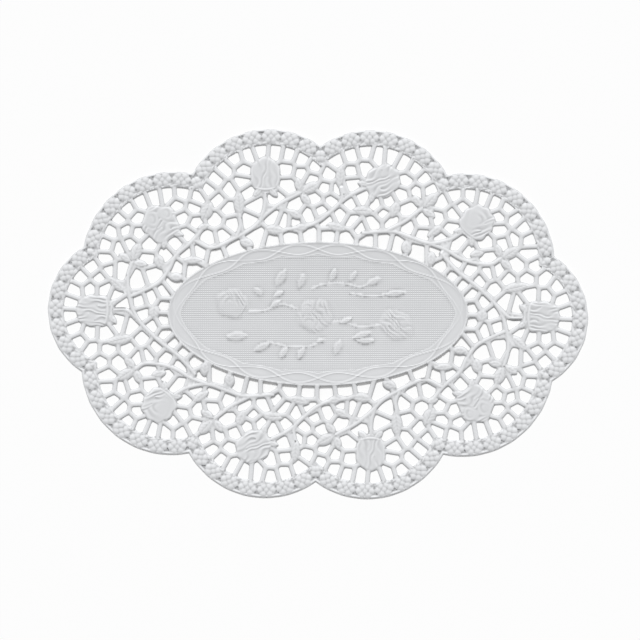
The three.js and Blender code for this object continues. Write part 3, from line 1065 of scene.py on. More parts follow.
@dataclass(frozen=True)
class Petals:
    """The petals of each kind of rose, as height shares over shares along and across it.

    Attributes:
        fan_flow: Petals of the fan.
        cup_flow: Petals of the cup.
        cup_foot: Foot of the cup.
        bud_flow: Petals of the bud.
        bud_foot: Foot of the bud.
        bud_strength: Height of the bud's petals.
        swirl_middle: Shares along and across of the swirl's heart.
        swirl_flow: Petals beside the swirl.
        swirl_foot: Foot of the swirl.
        open_flow: Ruffles of the open rose.
        open_hearts: Hearts of the open rose.
    """

    fan_flow: Flow = Flow(2.9, 0.13, ((0.1, 0.32, 1), (0.42, -0.12, -1), (-0.3, -0.34, 1), (0.3, 0.62, -1)))
    cup_flow: Flow = Flow(3.5, 0.08, ((0.3, 0.2, 1), (-0.16, -0.3, -1), (0.5, -0.5, 1), (0.0, 0.6, -1)))
    cup_foot: Foot = Foot(0.5, 0.66, (-0.66, -0.9))
    bud_flow: Flow = Flow(2.8, 0.05, ((0.2, 0.24, 1), (-0.1, -0.2, -1)))
    bud_foot: Foot = Foot(0.6, 0.74, (-0.76, -0.97))
    bud_strength: float = 0.7
    swirl_middle: tuple[float, float] = (0.04, 0.24)
    swirl_flow: Flow = Flow(3.1, 0.1, ((0.2, -0.3, 1), (-0.2, -0.6, -1)))
    swirl_foot: Foot = Foot(0.62, 0.78, (-0.74, -0.93))
    open_flow: Flow = Flow(3.3, 0.09, ((0.05, -0.2, 1), (-0.3, -0.5, -1), (0.3, -0.1, -1)))
    open_hearts: tuple[Heart, ...] = (Heart(0.44, 0.34, 0.46), Heart(0.26, -0.52, 0.4))

    def height(self, kind: RoseKind, u: Array, v: Array) -> Array:
        """Gives the petals of a rose.

        Args:
            kind: The rose's kind.
            u: Shares along the rose.
            v: Shares across it.

        Returns:
            Height shares.
        """
        draw = {
            RoseKind.FAN: self.fan,
            RoseKind.SWIRL: self.swirl,
            RoseKind.CUP: self.cup,
            RoseKind.OPEN: self.open_rose,
            RoseKind.BUD: self.bud,
        }[kind]
        return draw(u, v)

    def fan(self, u: Array, v: Array) -> Array:
        """Gives a rose from its side: long swaying petals."""
        return self.fan_flow.height(v, u)

    def cup(self, u: Array, v: Array) -> Array:
        """Gives a rose from its side with collars at its foot."""
        return self.cup_foot.under(self.cup_flow.height(v, u), u, v)

    def bud(self, u: Array, v: Array) -> Array:
        """Gives a closed head: straight petals over collars."""
        return self.bud_foot.under(self.bud_flow.height(v, u), u, v, self.bud_strength)

    def swirl(self, u: Array, v: Array) -> Array:
        """Gives a round rose: a smooth heart to one side and petals wrapped round it.

        Args:
            u: Shares along the rose.
            v: Shares across it.

        Returns:
            Height shares.
        """
        du, dv = u - self.swirl_middle[0], v - self.swirl_middle[1]
        angle = np.arctan2(dv, du)
        away = np.hypot(du, dv) * (1 + 0.07 * np.cos(3 * angle + 2))
        turns = 2.3 * away + 0.45 * np.sin(angle - 0.6) + 0.22 * np.sin(3 * angle + 3 * away)
        side = 0.25 + 0.75 * step_up(np.cos(angle + 0.7), -0.5, 0.7)
        heart = 0.9 - 0.6 * side * step_up(away, 0.2, 0.55) * waves(turns)
        beside = step_up(-v - 0.2 * u, 0.1, 0.4)
        petals = self.swirl_flow.height(v + 0.5 * u, u)
        return self.swirl_foot.under(heart * (1 - beside) + petals * beside, u, v)

    def open_rose(self, u: Array, v: Array) -> Array:
        """Gives an open rose: ruffles across it and two hearts with arcs.

        Args:
            u: Shares along the rose.
            v: Shares across it.

        Returns:
            Height shares.
        """
        ruffles = self.open_flow.height(u + 0.35 * v * v, v)
        for heart in self.open_hearts:
            height, place = heart.height(u, v)
            ruffles = ruffles * (1 - place) + height * place
        return ruffles


@dataclass(frozen=True)
class Motifs:
    """The rises of stems, leaves and roses.

    Attributes:
        full_stem: Width of stems that rise fully.
        petals: How the petals of each kind of rose run.
        stem: Rise of the stems.
        leaf: Rise of the leaves.
        rose: Rise of the roses under their petals.
        petal: Rise of their petals.
        low_rose: Rise of the low roses under their petals.
        low_petal: Rise of a low rose's petals over that of others.
        flatness: How flat their crowns are.
        low_flatness: How flat those of low roses are.
        leaf_shoulder: Share of a leaf's width over which it rises.
        rose_shoulder: Distance over which a rose rises.
        petal_shoulder: Distance over which its petals rise.
        low_shoulder: Distance over which a low rose rises.
        crease: Depth of a leaf's midrib.
        crease_half: Half of the midrib's width.
        crease_bend: How far the midrib bends off, as a share of the way along.
        full_leaf: Width of the leaves whose midrib is fully deep.
        vein: Rise of the side veins.
        vein_pitch: Distance between side veins.
        vein_lean: How far the side veins lean forward.
        stem_margin: How far past the middle line's box a stem is drawn.
        margin: How far past its reach a leaf or rose is drawn.
    """

    full_stem: float
    petals: Petals = Petals()
    stem: float = 0.6
    leaf: float = 0.64
    rose: float = 0.46
    petal: float = 0.27
    low_rose: float = 0.24
    low_petal: float = 1.7
    flatness: float = 2.6
    low_flatness: float = 1.8
    leaf_shoulder: float = 0.42
    rose_shoulder: float = 1.6
    petal_shoulder: float = 1.0
    low_shoulder: float = 2.6
    crease: float = 0.12
    crease_half: float = 0.3
    crease_bend: float = 0.06
    full_leaf: float = 6.4
    vein: float = 0.025
    vein_pitch: float = 1.9
    vein_lean: float = 0.8
    stem_margin: float = 0.5
    margin: float = 0.2

    def add(
        self,
        height: Array,
        stems: Sequence[Stem],
        leaves: Sequence[Leaf],
        roses: Sequence[Rose],
        rose_shape: Callable[[Rose, Array, Array], Array],
        x: Array,
        y: Array,
    ) -> None:
        """Raises heights to those of stems, leaves and roses.

        Args:
            height: The heights, which are changed.
            stems: The stems.
            leaves: The leaves.
            roses: The roses.
            rose_shape: Gives the rise of a rose.
            x, y: Places.
        """
        for items, margin, shape in (
            (stems, self.stem_margin, self.stem_height),
            (leaves, self.margin, self.leaf_height),
            (roses, self.margin, rose_shape),
        ):
            for item in items:
                near = item.near(x, y, margin)
                if near.any():
                    height[near] = np.maximum(height[near], shape(item, x[near], y[near]))

    def stem_height(self, stem: Stem, x: Array, y: Array) -> Array:
        """Gives the rise of a round stem."""
        rise = self.stem * min(1.0, stem.width / self.full_stem)
        return rise * arch(-stem.outside(x, y) / (stem.width / 2), self.flatness)

    def leaf_height(self, leaf: Leaf, x: Array, y: Array) -> Array:
        """Gives the rise of a leaf with a creased midrib and side veins.

        Args:
            leaf: The leaf.
            x, y: Places.

        Returns:
            Their rises.
        """
        along, across = leaf.seen(x, y)
        depth = -leaf.outside(x, y)
        body = arch(depth / (self.leaf_shoulder * leaf.width), self.flatness)
        crease = ridge(across - self.crease_bend * along, self.crease_half) * step_up(depth, 0.1, 0.9)
        crease *= min(1.0, (leaf.width / self.full_leaf) ** 2)
        veins = np.cos(2 * math.pi * (along - self.vein_lean * np.abs(across)) / self.vein_pitch)
        veins *= step_up(depth, 0.3, 1.1)
        return self.leaf * body - (self.crease * crease - self.vein * veins) * (depth > 0)

    def rose_height(self, rose: Rose, x: Array, y: Array) -> Array:
        """Gives the rise of a rose with its petals.

        Args:
            rose: The rose.
            x, y: Places.

        Returns:
            Their rises.
        """
        petals, depth = self.petals_of(rose, x, y)
        body = self.rose * arch(depth / self.rose_shoulder, self.flatness)
        return body + self.petal * petals * arch(depth / self.petal_shoulder)

    def low_rose_height(self, rose: Rose, x: Array, y: Array) -> Array:
        """Gives the rise of a low rose, which fades into the ground.

        Args:
            rose: The rose.
            x, y: Places.

        Returns:
            Their rises.
        """
        petals, depth = self.petals_of(rose, x, y)
        rise = self.low_rose + self.low_petal * self.petal * petals
        return rise * arch(depth / self.low_shoulder, self.low_flatness)

    def petals_of(self, rose: Rose, x: Array, y: Array) -> tuple[Array, Array]:
        """Gives the height share of a rose's petals, and how far places lie inside the rose."""
        u, v, out = rose.out(x, y)
        return self.petals.height(rose.kind, u, v), (1 - out) * rose.least_half


@dataclass(frozen=True)
class Rim:
    """A ridge that follows an edge.

    Attributes:
        inset: Distance of its crest from the edge.
        rise: Rise of its crest.
        half_width: Half of its width.
    """

    inset: float
    rise: float
    half_width: float

    def height(self, inset: Array) -> Array:
        """Gives its rise at distances from the edge."""
        return self.rise * ridge(inset - self.inset, self.half_width)


@dataclass(frozen=True)
class Band:
    """The beaded band along the edge.

    Attributes:
        design: The layout.
        pitch: Wanted distance between rosettes.
        middle: Distance from the edge to the middle of the rosettes.
        base: Rise of the band's ground.
        ground_shoulder: Distance over which the ground rises.
        rim: The ridge along the cut edge.
        inner_rim: The ridge along the band's inner side.
        lumps: Places of a rosette's lumps, along and across.
        lump_radius: Radius of a lump.
        body: Rise of a rosette under its lumps.
        lump: Rise of a lump.
        dent: How far the dents between rosettes go below the ground.
        dent_size: Width of a dent, how it narrows, and the inset from which it does.
        spot_inset: Distance from the edge to the dark spots between rosettes.
        spot_radius: Radius of a spot.
        edge_swing: How far the cut edge draws in between rosettes.
        cord_inset: Distance from the edge to the beaded cord.
        cord_half: Half of the cord's width.
        cord_bead: Half of a bead's length as a share of the pitch.
        cord_lean: How far the beads lean.
        cord: Rise of the cord.
    """

    design: Design
    pitch: float = 9.2
    middle: float = 3.7
    base: float = 0.2
    ground_shoulder: float = 0.4
    rim: Rim = Rim(0.75, 0.3, 0.45)
    inner_rim: Rim = Rim(0.5, 0.22, 0.34)
    lumps: tuple[tuple[float, float], ...] = (
        (0.0, 0.0),
        (2.9, 0.1),
        (-2.9, 0.1),
        (1.5, 1.6),
        (-1.5, 1.6),
        (1.5, -1.65),
        (-1.5, -1.65),
    )
    lump_radius: float = 1.72
    body: float = 0.16
    lump: float = 0.37
    dent: float = 0.1
    dent_size: tuple[float, float, float] = (1.35, 0.7, 1.6)
    spot_inset: float = 4.9
    spot_radius: float = 0.5
    edge_swing: float = 0.2
    cord_inset: float = 6.6
    cord_half: float = 0.8
    cord_bead: float = 0.26
    cord_lean: float = 0.12
    cord: float = 0.36

    def height(self, x: Array, y: Array, inset: Array) -> Array:
        """Gives the rise of the band.

        Args:
            x, y: Places.
            inset: Their distances from the edge.

        Returns:
            Their rises.
        """
        height = np.zeros_like(x)
        owner = np.argmax([disc.inset(x, y) for disc in self.design.discs], axis=0)
        for index, disc in enumerate(self.design.discs):
            own = owner == index
            if own.any():
                height[own] = self.scallop_height(disc, x[own], y[own], inset[own])
        return height

    def rosettes(self, disc: Disc) -> tuple[int, float]:
        """Gives the number of rosettes along a scallop and their pitch.

        Args:
            disc: The scallop's circle.

        Returns:
            The number and the pitch.
        """
        length = (disc.radius - self.middle) * disc.sweep
        count = round(length / self.pitch)
        return count, length / count

    def edge_wave(self, disc: Disc, share: Array) -> Array:
        """Gives how far the cut edge draws in between the rosettes of a scallop.

        Args:
            disc: The scallop's circle.
            share: Shares of the scallop's length.

        Returns:
            Distances in millimetres, which fade towards the notches.
        """
        count, _ = self.rosettes(disc)
        wave = 0.5 + 0.5 * np.cos(2 * math.pi * count * share)
        return self.edge_swing * wave * np.sin(math.pi * share) ** 0.2

    def scallop_height(self, disc: Disc, x: Array, y: Array, inset: Array) -> Array:
        """Gives the rise of the band along one scallop.

        Args:
            disc: The scallop's circle.
            x, y: Places.
            inset: Their distances from the edge.

        Returns:
            Their rises.
        """
        count, pitch = self.rosettes(disc)
        width = self.design.band_width
        place = disc.along(x, y) * count
        along = (place - np.floor(place) - 0.5) * pitch
        beyond = pitch / 2 - np.abs(along)

        height = self.base * roll(np.minimum(inset, width - inset) / self.ground_shoulder)
        height += self.rim.height(inset) + self.inner_rim.height(width - inset)

        across = inset - self.middle
        out = np.min([np.hypot(along - cx, across - cy) for cx, cy in self.lumps], axis=0) / self.lump_radius
        body = self.body * step_up(1.45 - out, 0.0, 0.45) + self.lump * np.clip(1 - out * out, 0, 1)
        height = np.maximum(height, self.base * step_up(1.6 - out, 0.0, 0.3) + body)

        dent_width, dent_slope, dent_from = self.dent_size
        dent = dent_width - dent_slope * (inset - dent_from) - beyond
        height -= (height + self.dent) * step_up(dent, 0.0, 0.4) * step_up(inset, 1.4, 1.7)
        spot = np.hypot(beyond, (inset - self.spot_inset) * 0.9)
        height *= 1 - 0.8 * ridge(spot, self.spot_radius)

        bead = (2 * place - np.floor(2 * place) - 0.5) * pitch / 2
        aside = inset - self.cord_inset + self.cord_lean * bead
        out = np.hypot(bead / (self.cord_bead * pitch), aside / self.cord_half)
        return np.where(out < 1, np.maximum(height, self.base + self.cord * (1 - out * out)), height)


@dataclass
class Medallion:
    """The oval medallion with a border of two crossing strands, a ground and a low bouquet.

    Attributes:
        design: The layout.
        motifs: The rises of stems, leaves and roses.
        edge: How far past its edge it reaches.
        shoulder: Distance over which it rises.
        rim: The ridge along its edge.
        border: Rise of the border.
        border_width: Width of the border.
        border_swing: How far the border draws in where the strands cross.
        waves: Waves of a strand round the medallion.
        strand_middle: Distance from the edge to the strands' middle.
        strand_swing: How far the strands swing to both sides.
        strand: Rise of a strand.
        strand_half: Half of a strand's width.
        strand_fade: Share of a strand's rise that is lost at the oval's ends.
        ground: Rise of the ground.
        ground_rim: The ridge just before the ground.
        bouquet_share: Rise of the bouquet's motifs as a share of others.
        bouquet_roses: Roses of the bouquet.
        bouquet_leaves: Leaves of the bouquet.
        bouquet_stem: Width of the bouquet's stems.
        bouquet_places: Places that each of them passes through.
        round_steps: Steps in which the way round the medallion is measured.
    """

    design: Design
    motifs: Motifs
    edge: float = 0.4
    shoulder: float = 0.7
    rim: Rim = Rim(0.45, 0.2, 0.4)
    border: float = 0.26
    border_width: float = 7.4
    border_swing: float = 1.1
    waves: int = 8
    strand_middle: float = 3.7
    strand_swing: float = 2.45
    strand: float = 0.17
    strand_half: float = 0.36
    strand_fade: float = 0.75
    ground: float = 0.22
    ground_rim: Rim = Rim(-0.3, 0.07, 0.3)
    bouquet_share: float = 0.54
    bouquet_roses: tuple[Rose, ...] = (
        Rose(-1.5, -0.8, 200, 8.8, 8.4, 5, 0.06, 2.0, RoseKind.OPEN),
        Rose(-42.0, 5.0, 150, 8.0, 7.4, 5, 0.06, 2.0, RoseKind.SWIRL),
        Rose(38.4, -5.4, -35, 9.0, 7.0, 5, 0.06, 2.0, RoseKind.FAN),
    )
    bouquet_leaves: tuple[Leaf, ...] = leaves_at(
        (-18.4, 17.4, 62, 10.0, 4.6), (-8.0, 16.2, 70, 8.8, 3.6), (-29.2, 10.8, -50, 6.0, 3.4),
        (-19.4, 9.6, 28, 6.6, 2.8), (-21.0, 4.8, 34, 7.0, 2.8), (7.4, 19.0, 70, 7.4, 3.4),
        (17.2, 18.4, 58, 6.6, 3.0), (27.2, 15.8, 26, 8.4, 3.6), (37.8, 10.0, 8, 10.4, 3.8),
        (13.6, -3.4, 22, 7.2, 2.8), (21.6, -10.4, 18, 10.8, 3.6), (23.4, -13.2, 0, 10.0, 3.4),
        (9.6, -16.6, 72, 8.6, 3.8), (1.6, -13.0, 30, 5.0, 2.4), (-39.8, -11.0, 4, 11.6, 4.8),
        (-27.4, -16.2, 26, 9.0, 3.8), (-16.8, -19.0, 56, 7.4, 3.4), (-8.2, -19.2, 64, 7.4, 3.2),
    )
    bouquet_stem: float = 1.2
    bouquet_places: tuple[tuple[tuple[float, float], ...], ...] = (
        ((-2.4, 12.4), (1.6, 14.2), (8.6, 14.9), (15.0, 14.4), (20.4, 13.0), (25.0, 14.6)),
        ((16.0, 10.0), (24.0, 8.8), (30.0, 8.8), (34.6, 10.0)),
        ((-24.0, -14.0), (-15.0, -16.0), (-8.0, -16.2), (-2.0, -15.4), (1.0, -13.6)),
        ((-34.0, 1.0), (-26.0, 1.6), (-18.0, 4.6), (-11.0, 2.6)),
        ((7.0, -4.0), (13.0, -4.0), (20.0, -6.4), (31.0, -5.6)),
    )
    round_steps: int = 1440

    def __post_init__(self) -> None:
        """Bends the bouquet's stems and measures the way round the medallion."""
        steps, width = self.design.stem_steps, self.bouquet_stem
        self.bouquet_stems = [Stem.through(places, steps, width) for places in self.bouquet_places]
        a, b = self.design.medallion
        a, b = a - self.strand_middle, b - self.strand_middle
        self.angles = np.linspace(-math.pi, math.pi, self.round_steps + 1)
        steps = np.hypot(np.diff(a * np.cos(self.angles)), np.diff(b * np.sin(self.angles)))
        self.rounds = np.concatenate([[0.0], np.cumsum(steps)]) / steps.sum()

    def height(self, x: Array, y: Array, inside: Array) -> Array:
        """Gives the rise of the medallion.

        Args:
            x, y: Places.
            inside: How far they lie inside the medallion.

        Returns:
            Their rises.
        """
        turn = self.strand_turn(x, y)
        fade = 1 - self.strand_fade * step_up(np.abs(x) / self.design.medallion[0], 0.8, 0.97)
        height = self.border * roll((inside + self.edge) / self.shoulder)
        height += self.rim.height(inside)
        for side in (1, -1):
            swing = side * self.strand_swing * np.sin(turn)
            height += fade * self.strand * ridge(inside - self.strand_middle - swing, self.strand_half)
        past = inside - self.ground_start(x, y)
        height += self.ground_rim.height(past) - (self.border - self.ground) * step_up(past, -0.4, 0.4)
        return height + self.bouquet_height(x, y)

    def strand_turn(self, x: Array, y: Array) -> Array:
        """Gives the angle of the strands' wave.

        Args:
            x, y: Places.

        Returns:
            Angles in radians.
        """
        a, b = self.design.medallion
        share = np.interp(np.arctan2(y / b, x / a), self.angles, self.rounds)
        return 2 * math.pi * self.waves * share

    def ground_start(self, x: Array, y: Array) -> Array:
        """Gives how far inside the medallion the linen ground starts."""
        return self.border_width - self.border_swing * (1 - np.abs(np.sin(self.strand_turn(x, y))))

    def bouquet_height(self, x: Array, y: Array) -> Array:
        """Gives the rise of the low bouquet over the ground.

        Args:
            x, y: Places.

        Returns:
            Their rises.
        """
        height = np.zeros_like(x)
        bouquet = (self.bouquet_stems, self.bouquet_leaves, self.bouquet_roses)
        self.motifs.add(height, *bouquet, self.motifs.low_rose_height, x, y)
        return self.bouquet_share * height


@dataclass
class Relief:
    """The pressed relief of the sheet, in millimetres above its lower face.

    Attributes:
        design: The layout.
        lattice: The fields of holes and bars.
        motifs: The rises of stems, leaves and roses.
        band: The beaded band along the edge.
        medallion: The oval medallion.
        paper: Thickness of the paper.
        bar: Rise of the bars.
        bar_half: Half of a bar's width.
        bar_flatness: How flat the crown of a bar is.
        join: How far the bars run into the band and the medallion.
        slope_reach: How far to each side the slope is read.
        painted_shading_steps: Places of a ring in which the paper is felt for creases, for the painted
            shading.
        painted_shading_near: Radius of the near ring, and the rise that counts as 1.
        painted_shading_wide: The same for the wide ring.
        near_limits: Least and most that the near ring counts.
        wide_limits: Least and most that the wide ring counts.
        painted_edge_shade: How much a cut edge counts as a crease, for painted shade along it.
        edge_reach: Distance over which it does.
        most_painted_shade: Most that a crease counts in all.
    """

    design: Design
    lattice: Lattice
    motifs: Motifs
    band: Band
    medallion: Medallion
    paper: float = 0.15
    bar: float = 0.42
    bar_half: float = 1.2
    bar_flatness: float = 3.0
    join: float = 0.25
    slope_reach: float = 0.1
    painted_shading_steps: int = 6
    painted_shading_near: tuple[float, float] = (0.7, 0.2)
    painted_shading_wide: tuple[float, float] = (1.7, 0.3)
    near_limits: tuple[float, float] = (-1.4, 0.4)
    wide_limits: tuple[float, float] = (-1.0, 0.0)
    painted_edge_shade: float = 0.6
    edge_reach: float = 0.26
    most_painted_shade: float = 1.8

    def height(self, x: Array, y: Array) -> Array:
        """Gives the relief at places on the sheet.

        Args:
            x, y: Places.

        Returns:
            Their heights.
        """
        design, motifs = self.design, self.motifs
        inside = -design.outside_medallion(x, y)
        inset = design.inside_edge(x, y)
        height = self.bar * arch(-self.lattice.at(self.lattice.cell, x, y) / self.bar_half, self.bar_flatness)
        motifs.add(height, design.stems, design.leaves, design.roses, motifs.rose_height, x, y)
        medallion = inside > -self.medallion.edge
        band = (inset < design.band_width) & ~medallion
        bars = height * (inside < self.join)
        bars *= inset > design.band_width - self.join
        height[medallion] = self.medallion.height(x[medallion], y[medallion], inside[medallion])
        height[band] = self.band.height(x[band], y[band], inset[band])
        return self.paper + np.maximum(height, bars)

    def painted_shading(self, x: Array, y: Array, depth: Array) -> Array:
        """Gives the painted shading: how far places stand out of the paper round them.

        It darkens creases, dents and cut edges as painted shade and lightens crests as painted highlight.

        Args:
            x, y: Places.
            depth: How far they lie inside the paper.

        Returns:
            Shares, about -1 in a crease or at a cut edge and up to 0.4 on a crest.
        """
        near = np.clip(self.stands_out(x, y, *self.painted_shading_near), *self.near_limits)
        wide = np.clip(self.stands_out(x, y, *self.painted_shading_wide), *self.wide_limits)
        # Painted shade along the cut edge darkens the colour there, and the total painted shade is capped.
        return np.maximum(near + wide - self.painted_edge_shade * ridge(depth, self.edge_reach), -self.most_painted_shade)

    def stands_out(self, x: Array, y: Array, reach: float, rise: float) -> Array:
        """Gives how far places stand over a ring round them.

        Args:
            x, y: Places.
            reach: Radius of the ring.
            rise: Rise that counts as 1.

        Returns:
            Shares, below 0 where a place lies lower than its ring.
        """
        level = np.zeros_like(x)
        for step in range(self.painted_shading_steps):
            angle = 2 * math.pi * (step + 0.5) / self.painted_shading_steps
            level += self.height(x + reach * math.cos(angle), y + reach * math.sin(angle))
        return (self.height(x, y) - level / self.painted_shading_steps) / rise

    def normals(self, x: Array, y: Array) -> Array:
        """Gives the directions that the relief faces, as unit vectors."""
        return unit(tilts(self.height, x, y, self.slope_reach, 1.0))


@dataclass
class Lie:
    """How the laid sheet rises and falls over the floor, in millimetres.

    Attributes:
        design: The layout.
        crown: Rise of the sheet round the medallion.
        fall: Distance over which it falls off outside.
    """

    design: Design
    crown: float = 0.6
    fall: float = 6.0

    def height(self, x: Array, y: Array) -> Array:
        """Gives how far the lower face stands over the floor.

        Args:
            x, y: Places.

        Returns:
            Their heights.
        """
        a, b = self.design.medallion
        out = np.hypot(x / a, y / b)
        beyond = np.clip(self.design.outside_medallion(x, y) / self.fall, 0, None)
        return self.crown * np.where(out < 1, out * out, np.exp(-beyond))


@dataclass(frozen=True)
class PaperFibreAndShading:
    """The shared node group of paper: a fine felt of fibres, a broad mottle and the painted shading.

    The painted shading is painted shade in creases, dents and at cut edges, and painted highlight on crests.

    Attributes:
        name: Name of the group.
        fibre_detail: How many finer layers the fibres have.
        fibre_roughness: How strong those layers are.
        mottle_detail: How many finer layers the mottle has.
        mottle_share: Share of the mottle in the tone.
    """

    name: str = "paper fibre and painted shading"
    fibre_detail: float = 3.0
    fibre_roughness: float = 0.6
    mottle_detail: float = 2.0
    mottle_share: float = 0.55

    def build(self) -> bpy.types.NodeTree:
        """Builds the group.

        Returns:
            The group. Fibre Scale, Mottle Scale and Painted Shading Depth go in, and Tone, Height and
            Shade come out. Shade is the painted shade and painted highlight that scale the colour.
        """
        tree = bpy.data.node_groups.new(self.name, "ShaderNodeTree")
        for label in ("Fibre Scale", "Mottle Scale", "Painted Shading Depth"):
            tree.interface.new_socket(label, in_out="INPUT", socket_type="NodeSocketFloat")
        for label in ("Tone", "Height", "Shade"):
            tree.interface.new_socket(label, in_out="OUTPUT", socket_type="NodeSocketFloat")
        values = tree.nodes.new("NodeGroupInput").outputs
        results = tree.nodes.new("NodeGroupOutput").inputs
        place = add_node(tree, "TexCoord")
        fibre = add_node(tree, "TexNoise", {"Detail": self.fibre_detail, "Roughness": self.fibre_roughness})
        mottle = add_node(tree, "TexNoise", {"Detail": self.mottle_detail})
        blend = add_node(tree, "Mix", {"Factor": self.mottle_share}, data_type="FLOAT")
        # Reads the painted shading stored on the mesh: painted shade in creases, dents and at cut edges,
        # painted highlight on crests.
        pressed = add_node(tree, "Attribute", attribute_name=PAINTED_SHADING)
        shade = add_node(tree, "Math", {2: 1.0}, operation="MULTIPLY_ADD")
        for start, end in (
            (place.outputs["Object"], fibre.inputs["Vector"]),
            (values["Fibre Scale"], fibre.inputs["Scale"]),
            (place.outputs["Object"], mottle.inputs["Vector"]),
            (values["Mottle Scale"], mottle.inputs["Scale"]),
            (fibre.outputs["Fac"], blend.inputs["A"]),
            (mottle.outputs["Fac"], blend.inputs["B"]),
            (pressed.outputs["Fac"], shade.inputs[0]),
            (values["Painted Shading Depth"], shade.inputs[1]),
            (blend.outputs["Result"], results["Tone"]),
            (fibre.outputs["Fac"], results["Height"]),
            (shade.outputs[0], results["Shade"]),
        ):
            tree.links.new(start, end)
        return tree


@dataclass(frozen=True)
class Paper:
    """A finish of white paper.

    Attributes:
        name: Name of the material.
        light: Lighter colour of its tone.
        dark: Darker colour of its tone.
        roughness: Roughness of the surface.
        specular: Strength of its gloss.
        fibre_scale: How fine the fibres are.
        mottle_scale: How fine the mottle is.
        painted_shading_depth: How much the painted shade darkens creases, dents and cut edges and the painted
            highlight lightens crests.
        fibre_depth: Depth of the fibres in metres.
        tone_ends: Tones of the darker and the lighter colour.
        linen: True where a linen pattern is pressed in.
        pitch: Distance between the threads of the linen in metres.
        thread_depth: Depth of the threads in metres.
        thread_shade: Brightness of the grooves and of the threads: painted shade in the grooves and painted
            highlight on the threads.
    """

    name: str
    light: Colour
    dark: Colour
    roughness: float = 0.88
    specular: float = 0.25
    fibre_scale: float = 2600.0
    mottle_scale: float = 90.0
    painted_shading_depth: float = 0.24
    fibre_depth: float = 0.00002
    tone_ends: tuple[float, float] = (0.35, 0.65)
    linen: bool = False
    pitch: float = 0.00103
    thread_depth: float = 0.00014
    thread_shade: tuple[float, float] = (0.92, 1.06)

    def build(self, fibre: bpy.types.NodeTree) -> bpy.types.Material:
        """Makes the material.

        Args:
            fibre: The shared fibre group.

        Returns:
            The material.
        """
        material, shader = add_material(self.name, self.roughness, self.specular)
        tree = material.node_tree
        own = {"Fibre Scale": self.fibre_scale, "Mottle Scale": self.mottle_scale}
        felt = add_node(tree, "Group", {**own, "Painted Shading Depth": self.painted_shading_depth}, node_tree=fibre)
        tone = add_ramp(tree, felt.outputs["Tone"], self.dark, self.light, self.tone_ends)
        bump = add_node(tree, "Bump", {"Distance": self.fibre_depth})
        tree.links.new(felt.outputs["Height"], bump.inputs["Height"])
        # Scales the colour by the painted shading: painted shade in creases, dents and at cut edges, painted
        # highlight on crests.
        colour = self.scaled(tree, tone, felt.outputs["Shade"])
        if self.linen:
            threads, colour = self.weave(tree, colour)
            tree.links.new(threads, bump.inputs["Normal"])
        tree.links.new(colour, shader.inputs["Base Color"])
        tree.links.new(bump.outputs["Normal"], shader.inputs["Normal"])
        return material

    @staticmethod
    def scaled(
        tree: bpy.types.NodeTree, colour: bpy.types.NodeSocket, share: bpy.types.NodeSocket
    ) -> bpy.types.NodeSocket:
        """Scales a colour.

        Args:
            tree: The material's node tree.
            colour: The colour.
            share: What it is scaled by.

        Returns:
            The scaled colour.
        """
        scale = add_node(tree, "VectorMath", operation="SCALE")
        tree.links.new(colour, scale.inputs[0])
        tree.links.new(share, scale.inputs["Scale"])
        return scale.outputs[0]

    def weave(
        self, tree: bpy.types.NodeTree, colour: bpy.types.NodeSocket
    ) -> tuple[bpy.types.NodeSocket, bpy.types.NodeSocket]:
        """Adds the pressed linen pattern.

        Args:
            tree: The material's node tree.
            colour: The paper's colour.

        Returns:
            The normal of the threads and the colour with painted shade in the grooves and painted highlight
            on the threads.
        """
        place = add_node(tree, "TexCoord")
        split = add_node(tree, "SeparateXYZ")
        tree.links.new(place.outputs["Object"], split.inputs[0])
        both = add_node(tree, "Math", operation="MULTIPLY")
        for axis, socket in zip("XY", both.inputs):
            end = split.outputs[axis]
            for step in (
                add_node(tree, "Math", {1: math.pi / self.pitch}, operation="MULTIPLY"),
                add_node(tree, "Math", operation="SINE"),
                add_node(tree, "Math", operation="ABSOLUTE"),
            ):
                tree.links.new(end, step.inputs[0])
                end = step.outputs[0]
            tree.links.new(end, socket)
        bump = add_node(tree, "Bump", {"Distance": self.thread_depth})
        tree.links.new(both.outputs[0], bump.inputs["Height"])
        # Painted shade in the grooves and painted highlight on the threads of the linen.
        groove, thread = self.thread_shade
        shade = add_node(tree, "MapRange", {"To Min": groove, "To Max": thread})
        tree.links.new(both.outputs[0], shade.inputs["Value"])
        return bump.outputs["Normal"], self.scaled(tree, colour, shade.outputs["Result"])


